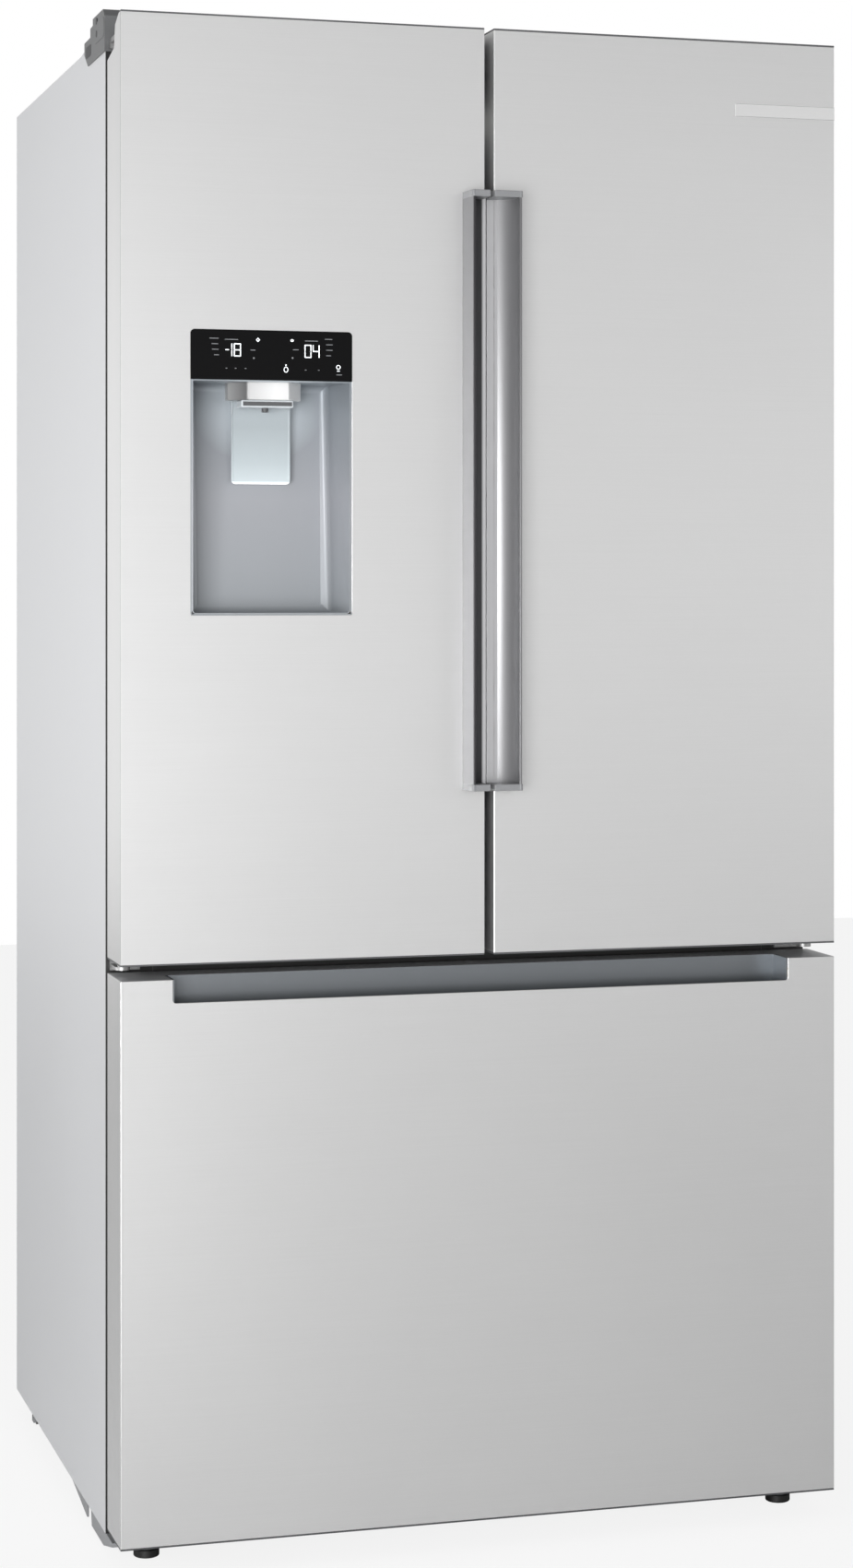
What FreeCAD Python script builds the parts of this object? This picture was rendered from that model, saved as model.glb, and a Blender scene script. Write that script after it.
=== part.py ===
import FreeCAD, Part
import math
import os
import Sketcher

# French door refrigerator: two hinged doors over a freezer drawer.
# Millimetres. +X is the viewer's right, -Y the front, +Z up. The origin is on the
# floor under the middle of the overall box.

SIZES = {
    # Overall
    "width": 900, "depth": 835, "door_high": 1830, "handle_stand": 35,
    # Door fronts
    "drawer_low": 30, "drawer_high": 695, "split_gap": 17, "centre_gap": 12,
    "door_thick": 86, "seal_gap": 13, "skin": 1.2, "cap": 12, "cap_lip": 2, "liner": 2,
    # Cabinet
    "cabinet_low": 22, "cabinet_drop": 12, "top_rise": 11, "ramp_front": 140, "ramp_back": 272,
    "side_foam": 56, "top_foam": 47, "back_foam": 61, "divider_drop": 27, "divider_thick": 74,
    "pan": 2, "floor_foam": 64, "machine_deep": 210, "step_foam": 43, "step_high": 338,
    "step_slab": 38,
    # Gaskets and fits
    "gasket_width": 18, "gasket_edge": 20, "gasket_in": 2, "gasket_low": 8, "gasket_over": 1.8,
    "drawer_gasket_low": 24, "drawer_gasket_drop": 7, "fit": 0.3, "bore_fit": 0.4,
    # Door hinges
    "pivot_in": 14, "pivot_back": 64, "pin_radius": 4, "arm_half": 9, "arm_thick": 6,
    "arm_flange": 27, "notch_depth": 43, "notch_high": 38, "notch_in": 28, "arm_up": 14,
    "notch_fall": 8, "notch_ease": 12, "notch_neck": 36, "notch_brow": 9,
    "pin_reach": 22, "plate_thick": 4, "arm_seat": 2, "cover_wide": 54, "cover_wall": 1.5,
    "cover_rise": 19, "cover_drop": 33, "cover_edge": 9, "tab_long": 138, "tab_slope": 24,
    "tab_slope_rise": 16.8, "tab_low_long": 42, "bump_slope": 17.2, "bump_back": 21.5,
    "screw_back": 50, "screw_low": 4, "screw_high": 11.5,
    # Handles
    "handle_long": 719, "handle_out": 33.6, "handle_lip": 30.3, "handle_in": 10,
    "scoop_radius": 32, "lip_radius": 3, "flange": 1.4, "flange_reach": 30, "flange_fit": 0.1,
    # Dispenser
    "niche_in": 83, "niche_wide": 196, "niche_drop": 371, "niche_tall": 337,
    "panel_tall": 59, "panel_proud": 0.8, "panel_thick": 6, "niche_lip": 5,
    "niche_deep": 78, "niche_shallow": 60, "niche_taper": 15, "spout_front": 18,
    "spout_face": 50, "spout_wide": 90, "spout_chamfer": 22, "spout_high": 22,
    "spout_back": 54, "collar_wide": 64, "collar_high": 9, "nozzle_radius": 8.5,
    "nozzle_long": 14, "paddle_wide": 72, "paddle_hang": 121, "paddle_thick": 3,
    "paddle_back": 57, "axle_radius": 2.5, "axle_drop": 9, "lug": 4,
    # Inner doors and mullion
    "rib": 22, "rib_reach": 90, "bin_gap": 50, "bin_wall": 3, "bin_high": 95,
    "ice_drop": 66, "ice_reach": 140, "mullion_wide": 56, "mullion_thick": 20,
    "mullion_in": 34, "mullion_back": 19, "mullion_end": 14, "mullion_pin": 3,
    # Fridge compartment
    "shelf_front": 272, "shelf_glass": 5, "shelf_trim": 14, "shelf_head": 220,
    "crisper_high": 184, "crisper_wall": 3, "track_wide": 24, "track_thick": 8,
    "duct_half": 62, "duct_thick": 20, "lamp_half": 130, "lamp_deep": 140, "lamp_thick": 5,
    # Freezer drawer
    "grip_in": 62, "grip_high": 27.5, "grip_corner": 4, "grip_deep": 45, "grip_drop": 28, "grip_wall": 2,
    "basket_in": 60.8, "basket_front": 128, "basket_gap": 27, "basket_low": 100,
    "basket_high": 400, "tray_high": 62, "tray_deep": 280, "rail_low": 200, "rail_high": 246,
    "rail_thick": 14, "rail_web": 4, "rail_gap": 14, "rail_front": 118,
    # Feet, rollers and side skirts
    "foot_in": 45, "foot_back": 75, "foot_radius": 15.5, "foot_high": 9, "neck_radius": 7,
    "bracket_thick": 5, "corner_deep": 18, "roller_radius": 10.5, "roller_wide": 14,
    "roller_in": 17, "front_roller": 217, "rear_roller": 110, "roller_axle": 3,
    "skirt_thick": 2.4, "skirt_clear": 2.5, "skirt_flange": 12, "skirt_nose": 118,
    "skirt_end": 205, "tail_front": 232, "tail_back": 350,
    # Machine compartment and cooling
    "compressor_radius": 75, "compressor_high": 165, "compressor_in": 150.8,
    "compressor_foot": 52.5, "mount_across": 63.75, "mount_deep": 41.25, "mount_high": 16,
    "machine_in": 100, "coil_half": 68, "coil_low": 44, "coil_high": 250, "coil_in": 118,
    "fin_pitch": 14, "fan_radius": 85, "fan_middle": 150, "fan_thick": 22, "fan_out": 90,
    "motor_radius": 26, "motor_long": 42, "evaporator_fan_radius": 52,
    "evaporator_fan_drop": 93, "duct_in": 110, "valve_in": 105, "valve_high": 150,
    "thread_radius": 13.2, "socket_radius": 20, "spigot_long": 18, "inlet_in": 120,
    "louvre_pitch": 23.8, "louvre_high": 7, "louvre_half": 120,
    # Trim strip
    "strip_long": 132.4, "strip_tall": 15.9, "strip_drop": 77.5, "strip_proud": 1,
}
FINS = 16
LOUVRES = 6
SHELVES = 4
BLADES = 6
BLADE_TURNS = (0, 8, 40, 48)    # degrees to the blade's root, tip, tip and root


class Length:
    """A size in millimetres together with the sheet formula that gives it."""

    def __init__(self, value, formula):
        self.value = value
        self.formula = formula

    def __neg__(self):
        return Length(-self.value, "(-1 * %s)" % self.formula)

    def __add__(self, other):
        return combined(self, "+", other)

    def __radd__(self, other):
        return combined(other, "+", self)

    def __sub__(self, other):
        return combined(self, "-", other)

    def __rsub__(self, other):
        return combined(other, "-", self)

    def __mul__(self, other):
        return combined(self, "*", other)

    def __rmul__(self, other):
        return combined(other, "*", self)

    def __truediv__(self, other):
        return combined(self, "/", other)


def length(size):
    if isinstance(size, Length):
        return size
    return Length(float(size), "%.6f" % size)


def combined(left, sign, right):
    left, right = length(left), length(right)
    value = {"+": left.value + right.value, "-": left.value - right.value,
             "*": left.value * right.value, "/": left.value / (right.value or 1)}[sign]
    return Length(value, "(%s %s %s)" % (left.formula, sign, right.formula))


doc = FreeCAD.newDocument("Refrigerator")
sheet = doc.addObject("Spreadsheet::Sheet", "Sizes")


class Sizes:
    """Every cell of the sheet by its alias."""


s = Sizes()
for row, (alias, number) in enumerate(SIZES.items(), 1):
    sheet.set("A%d" % row, str(number))
    sheet.setAlias("A%d" % row, alias)
    setattr(s, alias, Length(float(number), "Sizes." + alias))
doc.recompute()

NODES = {}
TURNS = {
    "x": FreeCAD.Rotation(FreeCAD.Vector(0, 1, 0), 90),
    "y": FreeCAD.Rotation(FreeCAD.Vector(1, 0, 0), -90),
    "z": FreeCAD.Rotation(),
}
PLANES = {"x": "YZ_Plane", "y": "XZ_Plane", "z": "XY_Plane"}


def bind(thing, place, size):
    thing.setExpression(place, length(size).formula)


def node(label, thing):
    thing.Label = label
    NODES[label] = thing
    return thing


def box(x, y, z):
    solid = doc.addObject("Part::Box", "block")
    for side, axis, (low, high) in zip(("Length", "Width", "Height"), "xyz", (x, y, z)):
        bind(solid, side, high - low)
        bind(solid, "Placement.Base." + axis, low)
    return solid


def cylinder(axis, centre, radius, span):
    solid = doc.addObject("Part::Cylinder", "rod")
    solid.Placement = FreeCAD.Placement(FreeCAD.Vector(), TURNS[axis])
    bind(solid, "Radius", radius)
    bind(solid, "Height", span[1] - span[0])
    places = dict(zip([name for name in "xyz" if name != axis], centre))
    places[axis] = span[0]
    for name in "xyz":
        bind(solid, "Placement.Base." + name, places[name])
    return solid


def fuse(*pieces):
    solid = doc.addObject("Part::MultiFuse", "joined")
    solid.Shapes = list(pieces)
    return solid


def cut(base, *tools):
    solid = doc.addObject("Part::Cut", "cut")
    solid.Base = base
    solid.Tool = tools[0] if len(tools) == 1 else fuse(*tools)
    return solid


def common(first, second):
    solid = doc.addObject("Part::Common", "common")
    solid.Base = first
    solid.Tool = second
    return solid


def group(*pieces):
    solid = doc.addObject("Part::Compound", "group")
    solid.Links = list(pieces)
    return solid


def mirrored(piece):
    solid = doc.addObject("Part::Mirroring", "mirrored")
    solid.Source = piece
    solid.Normal = FreeCAD.Vector(1, 0, 0)
    return solid


def pair(piece):
    return group(piece, mirrored(piece))


def pair_of(piece):
    return [piece, mirrored(piece)]


def edge_between(first, second, radius):
    """A line, or an arc whose centre is on the left for a positive radius."""
    if not radius:
        return Part.LineSegment(first, second), 1
    middle = (first + second) / 2
    along = (second - first).normalize()
    left = FreeCAD.Vector(-along.y, along.x, 0)
    half = first.distanceToPoint(second) / 2
    rise = math.sqrt(max(radius * radius - half * half, 0))
    centre = middle + left * math.copysign(rise, radius)
    angles = [math.atan2(point.y - centre.y, point.x - centre.x) for point in (first, second)]
    if radius < 0:
        angles.reverse()
    if angles[1] < angles[0]:
        angles[1] += 2 * math.pi
    circle = Part.Circle(centre, FreeCAD.Vector(0, 0, 1), abs(radius))
    return Part.ArcOfCircle(circle, *angles), 1 if radius > 0 else 2


def sketch_on(body, axis, outline):
    """A closed outline of (u, v) corners; a third value makes the edge to it an arc."""
    sketch = body.newObject("Sketcher::SketchObject", "outline")
    plane = [item for item in body.Origin.OriginFeatures if item.Role == PLANES[axis]][0]
    sketch.AttachmentSupport = (plane, [""])
    sketch.MapMode = "FlatFace"
    corners = [tuple(length(size) for size in corner) for corner in outline]
    points = [FreeCAD.Vector(corner[0].value, corner[1].value, 0) for corner in corners]
    starts = []
    for index, point in enumerate(points):
        target = (index + 1) % len(points)
        bulge = corners[target][2] if len(corners[target]) > 2 else None
        edge, start = edge_between(point, points[target], bulge.value if bulge else 0)
        sketch.addGeometry(edge, False)
        starts.append((start, bulge))
    for index, (start, bulge) in enumerate(starts):
        target = (index + 1) % len(points)
        sketch.addConstraint(Sketcher.Constraint(
            "Coincident", index, 3 - start, target, starts[target][0]))
    for index, (start, bulge) in enumerate(starts):
        for kind, size in zip(("DistanceX", "DistanceY"), corners[index]):
            place = sketch.addConstraint(Sketcher.Constraint(
                kind, -1, 1, index, start, size.value))
            bind(sketch, "Constraints[%d]" % place, size)
        if bulge:
            size = bulge if bulge.value > 0 else -bulge
            place = sketch.addConstraint(Sketcher.Constraint("Radius", index, size.value))
            bind(sketch, "Constraints[%d]" % place, size)
    return sketch


def prism(axis, span, outline):
    """Outline corners are (x, y) for axis z, (y, z) for axis x and (x, z) for axis y."""
    body = doc.addObject("PartDesign::Body", "profile")
    sketch = sketch_on(body, axis, outline)
    bind(sketch, "AttachmentOffset.Base.z", -span[1] if axis == "y" else span[0])
    pad = body.newObject("PartDesign::Pad", "pad")
    pad.Profile = sketch
    bind(pad, "Length", span[1] - span[0])
    return body


def turned(x, y, outline):
    """A solid of revolution about a vertical axis, from (radius, z) corners."""
    body = doc.addObject("PartDesign::Body", "turned")
    sketch = sketch_on(body, "y", outline)
    bind(sketch, "AttachmentOffset.Base.x", x)
    bind(sketch, "AttachmentOffset.Base.z", -y)
    spin = body.newObject("PartDesign::Revolution", "spin")
    spin.Profile = sketch
    spin.ReferenceAxis = (sketch, ["V_Axis"])
    spin.Angle = 360
    return body


def rounded_slab(x, y, z, low_radius, high_radius):
    """An upright slab whose front outline has rounded lower and upper corners."""
    (left, right), (low, high) = x, z
    return prism("y", y, [
        (right - low_radius, low), (right, low + low_radius, low_radius),
        (right, high - high_radius), (right - high_radius, high, high_radius),
        (left + high_radius, high), (left, high - high_radius, high_radius),
        (left, low + low_radius), (left + low_radius, low, low_radius)])


def frame_ring(x, y, z, inset):
    return cut(box(x, y, z), box((x[0] + inset, x[1] - inset), (y[0] - 1, y[1] + 1),
                                 (z[0] + inset, z[1] - inset)))


def open_tray(x, y, z, wall):
    """A box with four walls and a floor, open at the top."""
    return cut(box(x, y, z), box((x[0] + wall, x[1] - wall), (y[0] + wall, y[1] - wall),
                                 (z[0] + wall, z[1] + 1)))


# Shared planes and places
half = s.width / 2
face = s.handle_stand - s.depth / 2
door_back = face + s.door_thick
front = door_back + s.seal_gap
back = s.depth / 2
door_low = s.drawer_high + s.split_gap
gap_half = s.centre_gap / 2
opening = half - s.skin - s.side_foam
inside = opening - s.liner
cabinet_high = s.door_high - s.cabinet_drop
divider_low = s.drawer_high - s.divider_drop
divider_high = divider_low + s.divider_thick
fridge_top = cabinet_high - s.top_foam
fridge_back = back - s.skin - s.back_foam
foam_front = front + s.skin
foam_back = back - s.skin
pan_top = s.cabinet_low + s.pan
floor_top = pan_top + s.floor_foam
machine_front = back - s.machine_deep
step_back = machine_front - s.step_foam
step_under = s.step_high - s.step_slab
pivot_x = half - s.pivot_in
pivot_y = face + s.pivot_back
notch_low = s.door_high - s.notch_high
arm_low = notch_low + s.arm_up
beyond = 1


def side_view(nose, rear, low, roof):
    """Side view of the case, whose top steps up over a ramp towards the front."""
    return [(nose, low), (rear, low), (rear, cabinet_high - roof),
            (face + s.ramp_back, cabinet_high - roof),
            (face + s.ramp_front, cabinet_high + s.top_rise - roof),
            (nose, cabinet_high + s.top_rise - roof)]


# Cabinet case
def cabinet_shell():
    outside = prism("x", (-half, half), side_view(front, back, s.cabinet_low, 0))
    hollow = prism("x", (s.skin - half, half - s.skin),
                   side_view(foam_front, back + beyond, s.cabinet_low - beyond, s.skin))
    doorway = box((-opening, opening), (front - beyond, foam_front + beyond),
                  (s.cabinet_low - beyond, fridge_top))
    return cut(outside, hollow, doorway)


def insulation():
    side = prism("x", (opening, half - s.skin), side_view(foam_front, foam_back, pan_top, s.skin))
    top = prism("x", (-opening, opening), side_view(foam_front, foam_back, fridge_top, s.skin))
    across = (-opening, opening)
    return group(
        side, mirrored(side), top,
        box(across, (fridge_back, foam_back), (divider_high, fridge_top)),
        box(across, (foam_front, foam_back), (divider_low, divider_high)),
        box(across, (fridge_back, foam_back), (s.step_high, divider_low)),
        box(across, (step_back, foam_back), (step_under, s.step_high)),
        box(across, (step_back, machine_front), (pan_top, step_under)),
        box(across, (foam_front, step_back), (pan_top, floor_top)))


def fridge_liner():
    return cut(box((-opening, opening), (front, fridge_back), (divider_high, fridge_top)),
               box((-inside, inside), (front - beyond, fridge_back - s.liner),
                   (divider_high + s.liner, fridge_top - s.liner)))


def freezer_liner():
    outside = prism("x", (-opening, opening),
                    [(front, floor_top), (step_back, floor_top), (step_back, s.step_high),
                     (fridge_back, s.step_high), (fridge_back, divider_low),
                     (front, divider_low)])
    hollow = prism("x", (-inside, inside),
                   [(front - beyond, floor_top + s.liner), (step_back - s.liner, floor_top + s.liner),
                    (step_back - s.liner, s.step_high + s.liner),
                    (fridge_back - s.liner, s.step_high + s.liner),
                    (fridge_back - s.liner, divider_low - s.liner),
                    (front - beyond, divider_low - s.liner)])
    return cut(outside, hollow)


def front_rails():
    across = (-opening, opening)
    return [box(across, (front, foam_front), (divider_low, divider_high)),
            box(across, (front, foam_front), (s.cabinet_low, floor_top))]


# Base, feet and rollers
foot_x = half - s.foot_in
roller_x = half - s.roller_in


def roller_ears(y):
    """Two ears under the pan that carry one roller's axle."""
    ears = []
    for side in (-1, 1):
        inner = roller_x + side * (s.roller_wide / 2 + s.fit)
        outer = inner + side * s.plate_thick
        span = (outer, inner) if side < 0 else (inner, outer)
        ears.append(box(span, (y - s.neck_radius, y + s.neck_radius),
                        (s.roller_radius - s.neck_radius, s.cabinet_low)))
    hole = cylinder("x", (y, s.roller_radius), s.roller_axle + s.bore_fit,
                    (roller_x - s.roller_wide, roller_x + s.roller_wide))
    return cut(fuse(*ears), hole)


def side_skirts():
    """Plates under the case side, before and behind the front roller."""
    outer = half - s.skin
    plate = (outer - s.skirt_thick, outer)
    bracket_low = s.cabinet_low - s.bracket_thick
    nose = face + s.foot_back - s.foot_radius
    toe = face + s.skirt_nose
    front_plate = prism("x", plate, [
        (nose, s.cabinet_low), (nose, bracket_low), (toe, s.skirt_clear),
        (face + s.skirt_end - s.bracket_thick, s.skirt_clear), (face + s.skirt_end, s.cabinet_low)])
    flange = prism("x", (outer - s.skirt_thick - s.skirt_flange, outer - s.skirt_thick), [
        (nose, bracket_low + s.skirt_thick), (nose, bracket_low), (toe, s.skirt_clear),
        (toe, s.skirt_clear + s.skirt_thick)])
    tail = prism("x", plate, [
        (face + s.tail_front, s.cabinet_low), (face + s.tail_front, s.lug),
        (face + s.tail_back, s.cabinet_low)])
    return [front_plate, flange, tail]


def base_pan():
    sheet_plate = box((s.skin - half, half - s.skin), (foam_front, back),
                      (s.cabinet_low, pan_top))
    inner = foot_x - s.foot_radius - s.neck_radius
    corner = box((inner, half - s.skin),
                 (face + s.foot_back - s.foot_radius, front + s.corner_deep),
                 (s.cabinet_low - s.bracket_thick, s.cabinet_low))
    step = box((inner, half - s.skin), (foam_front, front + s.corner_deep),
               (s.cabinet_low - beyond, pan_top))
    ears = [roller_ears(y) for y in (face + s.front_roller, back - s.rear_roller)]
    skirts = [fuse(piece, box((half - s.skin - s.skirt_thick, half - s.skin), rest,
                              (s.cabinet_low - beyond, pan_top)))
              for piece, rest in zip(side_skirts()[::2],
                                     ((foam_front, face + s.skirt_end - beyond),
                                      (face + s.tail_front, face + s.tail_back - s.foot_radius)))]
    sides = [corner, step, side_skirts()[1]] + ears + skirts
    whole = fuse(sheet_plate, *(sides + [mirrored(piece) for piece in sides]))
    bores = [cylinder("z", (side * foot_x, face + s.foot_back), s.neck_radius - beyond,
                      (s.cabinet_low - s.bracket_thick - beyond, s.cabinet_low + beyond))
             for side in (-1, 1)]
    return cut(whole, *bores)


def levelling_feet():
    """A round foot, a neck that stops under its bracket and a stem through it."""
    edge = 2
    stem = s.neck_radius - 2
    under = s.cabinet_low - s.bracket_thick
    top = s.cabinet_low + s.plate_thick
    outline = [(0, 0), (s.foot_radius - edge, 0), (s.foot_radius, edge, edge),
               (s.foot_radius, s.foot_high), (s.neck_radius, s.foot_high + beyond),
               (s.neck_radius, under), (stem, under), (stem, top), (0, top)]
    return pair(turned(foot_x, face + s.foot_back, outline))


def rollers(y):
    wheel = cylinder("x", (y, s.roller_radius), s.roller_radius,
                     (roller_x - s.roller_wide / 2, roller_x + s.roller_wide / 2))
    reach = s.roller_wide / 2 + s.fit + s.plate_thick
    axle = cylinder("x", (y, s.roller_radius), s.roller_axle, (roller_x - reach, roller_x + reach))
    return pair(fuse(wheel, axle))


# Back of the case and machine compartment
machine_y = back - s.machine_in
duct_y = back - s.duct_in
compressor_x = inside - s.compressor_in
valve_x = half - s.valve_in
inlet_x = s.inlet_in - half
evaporator_fan_z = divider_low - s.evaporator_fan_drop
condenser_fan_x = -s.fan_out


def rear_cover():
    return box((s.skin - half, half - s.skin), (foam_back, back),
               (step_under, cabinet_high - s.skin))


def machine_cover():
    plate = box((s.skin - half, half - s.skin), (foam_back, back), (pan_top, step_under))
    slots = []
    for column in (-1, 1):
        middle = column * opening / 2
        for line in range(LOUVRES):
            low = s.fan_middle + (line - (LOUVRES - 1) / 2) * s.louvre_pitch
            slots.append(box((middle - s.louvre_half, middle + s.louvre_half),
                             (foam_back - beyond, back + beyond), (low, low + s.louvre_high)))
    hose_hole = cylinder("y", (valve_x, s.valve_high), s.socket_radius,
                         (foam_back - beyond, back + beyond))
    plug_hole = box((inlet_x - s.track_wide, inlet_x + s.track_wide),
                    (foam_back - beyond, back + beyond),
                    (s.valve_high - s.rail_thick, s.valve_high + s.rail_thick))
    return cut(plate, hose_hole, plug_hole, *slots)


def compressor():
    low = pan_top + s.mount_high
    high = low + s.compressor_high
    waist = s.compressor_radius - s.neck_radius
    dome = s.compressor_radius / 2
    seam = low + dome
    bottom = low - s.plate_thick
    can = turned(compressor_x, machine_y, [
        (0, bottom), (waist, bottom), (waist, seam), (s.compressor_radius, seam),
        (s.compressor_radius, seam + s.foot_high), (waist, seam + s.foot_high),
        (waist, high - dome), (waist - dome, high, dome), (0, high)])
    foot = box((compressor_x - s.compressor_radius, compressor_x + s.compressor_radius),
               (machine_y - s.compressor_foot, machine_y + s.compressor_foot), (bottom, low))
    return fuse(can, foot)


def compressor_mounts():
    return [cylinder("z", (compressor_x + across * s.mount_across, machine_y + along * s.mount_deep),
                     s.neck_radius, (pan_top, pan_top + s.mount_high - s.plate_thick))
            for across in (-1, 1) for along in (-1, 1)]


def condenser_coil():
    """Upright fins on four tubes, standing on two feet."""
    left = s.coil_in - half
    right = left + (FINS - 1) * s.fin_pitch + beyond
    deep = (machine_y - s.coil_half, machine_y + s.coil_half)
    fins = [box((left + index * s.fin_pitch, left + index * s.fin_pitch + beyond), deep,
                (s.coil_low, s.coil_high)) for index in range(FINS)]
    tubes = [cylinder("x", (machine_y + side * s.coil_half / 2,
                            s.coil_low + (s.coil_high - s.coil_low) * share),
                      s.mullion_pin, (left, right))
             for side in (-1, 1) for share in (0.25, 0.75)]
    feet = [box((x - s.lug, x + s.lug), deep, (pan_top, s.coil_low))
            for x in (left + s.lug, right - s.lug)]
    return fuse(*(fins + tubes + feet))


def fan(axis, centre, start, radius, hub):
    """Flat blades on a hub, with a shaft that reaches into the motor."""
    outline = []
    for blade in range(BLADES):
        for turn, reach in zip(BLADE_TURNS, (hub, radius, radius, hub)):
            angle = math.radians(blade * 360 / BLADES + turn)
            outline.append((centre[0] + reach * math.cos(angle), centre[1] + reach * math.sin(angle)))
    blades = prism(axis, (start, start + s.lug), outline)
    boss = cylinder(axis, centre, hub, (start, start + s.fan_thick))
    shaft = cylinder(axis, centre, s.mullion_pin,
                     (start + s.fan_thick, start + s.fan_thick + s.motor_long / 3))
    return fuse(blades, boss, shaft)


def condenser_fan():
    return fan("x", (machine_y, s.fan_middle), condenser_fan_x, s.fan_radius, s.motor_radius - 2)


def evaporator_fan():
    return fan("y", (length(0), evaporator_fan_z), duct_y - s.lug, s.evaporator_fan_radius,
               s.motor_radius - 8)


def motor(axis, centre, start, radius, reach):
    body = cylinder(axis, centre, radius, (start, start + reach))
    bore = cylinder(axis, centre, s.mullion_pin + s.bore_fit,
                    (start - beyond, start + s.motor_long / 3))
    return cut(body, bore)


def fan_motors():
    low_start = condenser_fan_x + s.fan_thick + s.fit
    low_motor = motor("x", (machine_y, s.fan_middle), low_start, s.motor_radius, s.motor_long)
    post = box((low_start + s.motor_long / 2, low_start + s.motor_long),
               (machine_y - s.motor_radius / 2, machine_y + s.motor_radius / 2),
               (pan_top, s.fan_middle))
    high_start = duct_y - s.lug + s.fan_thick + s.fit
    high_motor = motor("y", (length(0), evaporator_fan_z), high_start, s.motor_radius - 6,
                       fridge_back - s.liner - high_start)
    return group(fuse(low_motor, post), high_motor)


def evaporator_cover():
    """Inner back wall of the freezer, slotted in front of the fan."""
    near = duct_y - s.duct_thick
    plate = box((-inside, inside), (near, near + s.lug),
                (s.step_high + s.liner, divider_low - s.liner))
    slots = []
    for line in (-2, -1, 0, 1, 2):
        middle = evaporator_fan_z + line * s.duct_thick
        slots.append(box((-s.evaporator_fan_radius, s.evaporator_fan_radius),
                         (near - beyond, duct_y), (middle - s.lug, middle + s.lug)))
    return cut(plate, *slots)


def water_valve():
    """Inlet valve behind the machine cover, its spigot sunk in a socket that a nut fits."""
    centre = (valve_x, s.valve_high)
    body = box((valve_x - s.track_wide, valve_x + s.track_wide),
               (foam_back - s.motor_long - s.spigot_long, foam_back),
               (s.valve_high - s.track_wide, s.valve_high + s.track_wide))
    socket = cylinder("y", centre, s.socket_radius, (foam_back - s.spigot_long, foam_back + beyond))
    spigot = cylinder("y", centre, s.thread_radius, (foam_back - s.spigot_long - beyond, foam_back))
    bore = cylinder("y", centre, s.neck_radius, (foam_back - s.motor_long, back + beyond))
    return cut(fuse(cut(body, socket), spigot), bore)


def mains_inlet():
    wide, deep = s.track_wide, s.rail_thick
    shell = box((inlet_x - wide, inlet_x + wide), (foam_back - s.rib, back - s.fit),
                (s.valve_high - deep, s.valve_high + deep))
    well = box((inlet_x - wide + s.lug, inlet_x + wide - s.lug),
               (foam_back - s.rib + s.lug, back + beyond),
               (s.valve_high - deep + s.lug, s.valve_high + deep - s.lug))
    return cut(shell, well)


# Door hinges
def hinge_screws():
    x = half + s.cover_wall
    heads = [cylinder("x", (front + s.screw_back, s.door_high + rise), s.pin_radius,
                      (x, x + beyond)) for rise in (-s.screw_low, s.screw_high)]
    return pair(group(*heads))


def hinge_arm(low, thick):
    """A hinge arm rounded about its pin."""
    return prism("z", (low, low + thick), [
        (pivot_x - s.arm_half, pivot_y), (pivot_x, pivot_y - s.arm_half, s.arm_half),
        (pivot_x + s.arm_half, pivot_y, s.arm_half),
        (pivot_x + s.arm_half, front), (pivot_x - s.arm_half, front)])


def hinge_flange(low, high):
    """The plate that holds an arm to the case front."""
    return box((pivot_x - s.arm_flange, pivot_x + s.arm_half), (front - s.plate_thick, front),
               (low, high))


def hinge_pin(radius, low, high):
    return cylinder("z", (pivot_x, pivot_y), radius, (low, high))


def door_hinges():
    """Top and middle hinge arms, each with its pin, for both doors."""
    top = fuse(hinge_arm(arm_low, s.arm_thick),
               hinge_flange(arm_low - s.arm_thick, arm_low + s.arm_thick),
               hinge_pin(s.pin_radius, notch_low - s.pin_reach, arm_low))
    low = s.drawer_high + s.plate_thick + s.arm_seat
    middle = fuse(hinge_arm(low, s.plate_thick),
                  hinge_flange(s.drawer_high + s.arm_seat, door_low - s.arm_seat),
                  hinge_pin(s.pin_radius, low, door_low + s.pin_reach),
                  hinge_pin(s.pin_radius + s.arm_seat, low, door_low - s.fit))
    return group(top, mirrored(top), middle, mirrored(middle))


def hinge_cover():
    """Cap over one top hinge: it sits on the case corner with a tab down its side."""
    low = s.door_high - s.cover_drop
    top = s.door_high + s.cover_rise
    near = front - s.cover_wall
    rear = front + s.tab_long
    bump = rear - s.tab_low_long
    inner = half - s.cover_wide
    case_top = cabinet_high + s.top_rise
    whole = prism("x", (inner, half + s.cover_wall), [
        (near, low), (rear - s.tab_slope, low), (rear, low + s.tab_slope_rise),
        (rear, case_top - s.fit), (bump, case_top + s.fit), (bump, top - s.cover_edge),
        (bump - s.bump_slope, top - s.cover_edge + beyond), (bump - s.bump_slope, top),
        (front + s.cover_edge, top), (near, top - s.cover_edge)])
    case = box((inner - beyond, half), (front, back), (low - beyond, case_top))
    hollow = box((inner + s.cover_wall, half), (front + s.cover_edge, bump - s.bump_back),
                 (case_top - beyond, top - s.cover_wall))
    slot = box((pivot_x - s.arm_flange - s.fit, pivot_x + s.arm_half + s.fit),
               (front - s.cover_wall * 4, front + beyond),
               (arm_low - s.arm_thick - s.fit, arm_low + s.arm_thick + s.fit))
    return cut(whole, case, hollow, slot)


# Doors
def door_block(x, y, z):
    """A box of the door, less the hinge notch at its top rear outer corner.

    The notch's floor falls to the back, and its front wall leans forward near the top."""
    notch = prism("x", (half - s.notch_in, half + beyond), [
        (face + s.notch_depth, notch_low), (door_back, notch_low - s.notch_fall),
        (door_back + beyond, notch_low - s.notch_fall), (door_back + beyond, s.door_high + beyond),
        (face + s.notch_brow, s.door_high + beyond), (face + s.notch_brow, s.door_high),
        (face + s.notch_neck, s.door_high - s.notch_ease)])
    return cut(box(x, y, z), notch)


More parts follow.
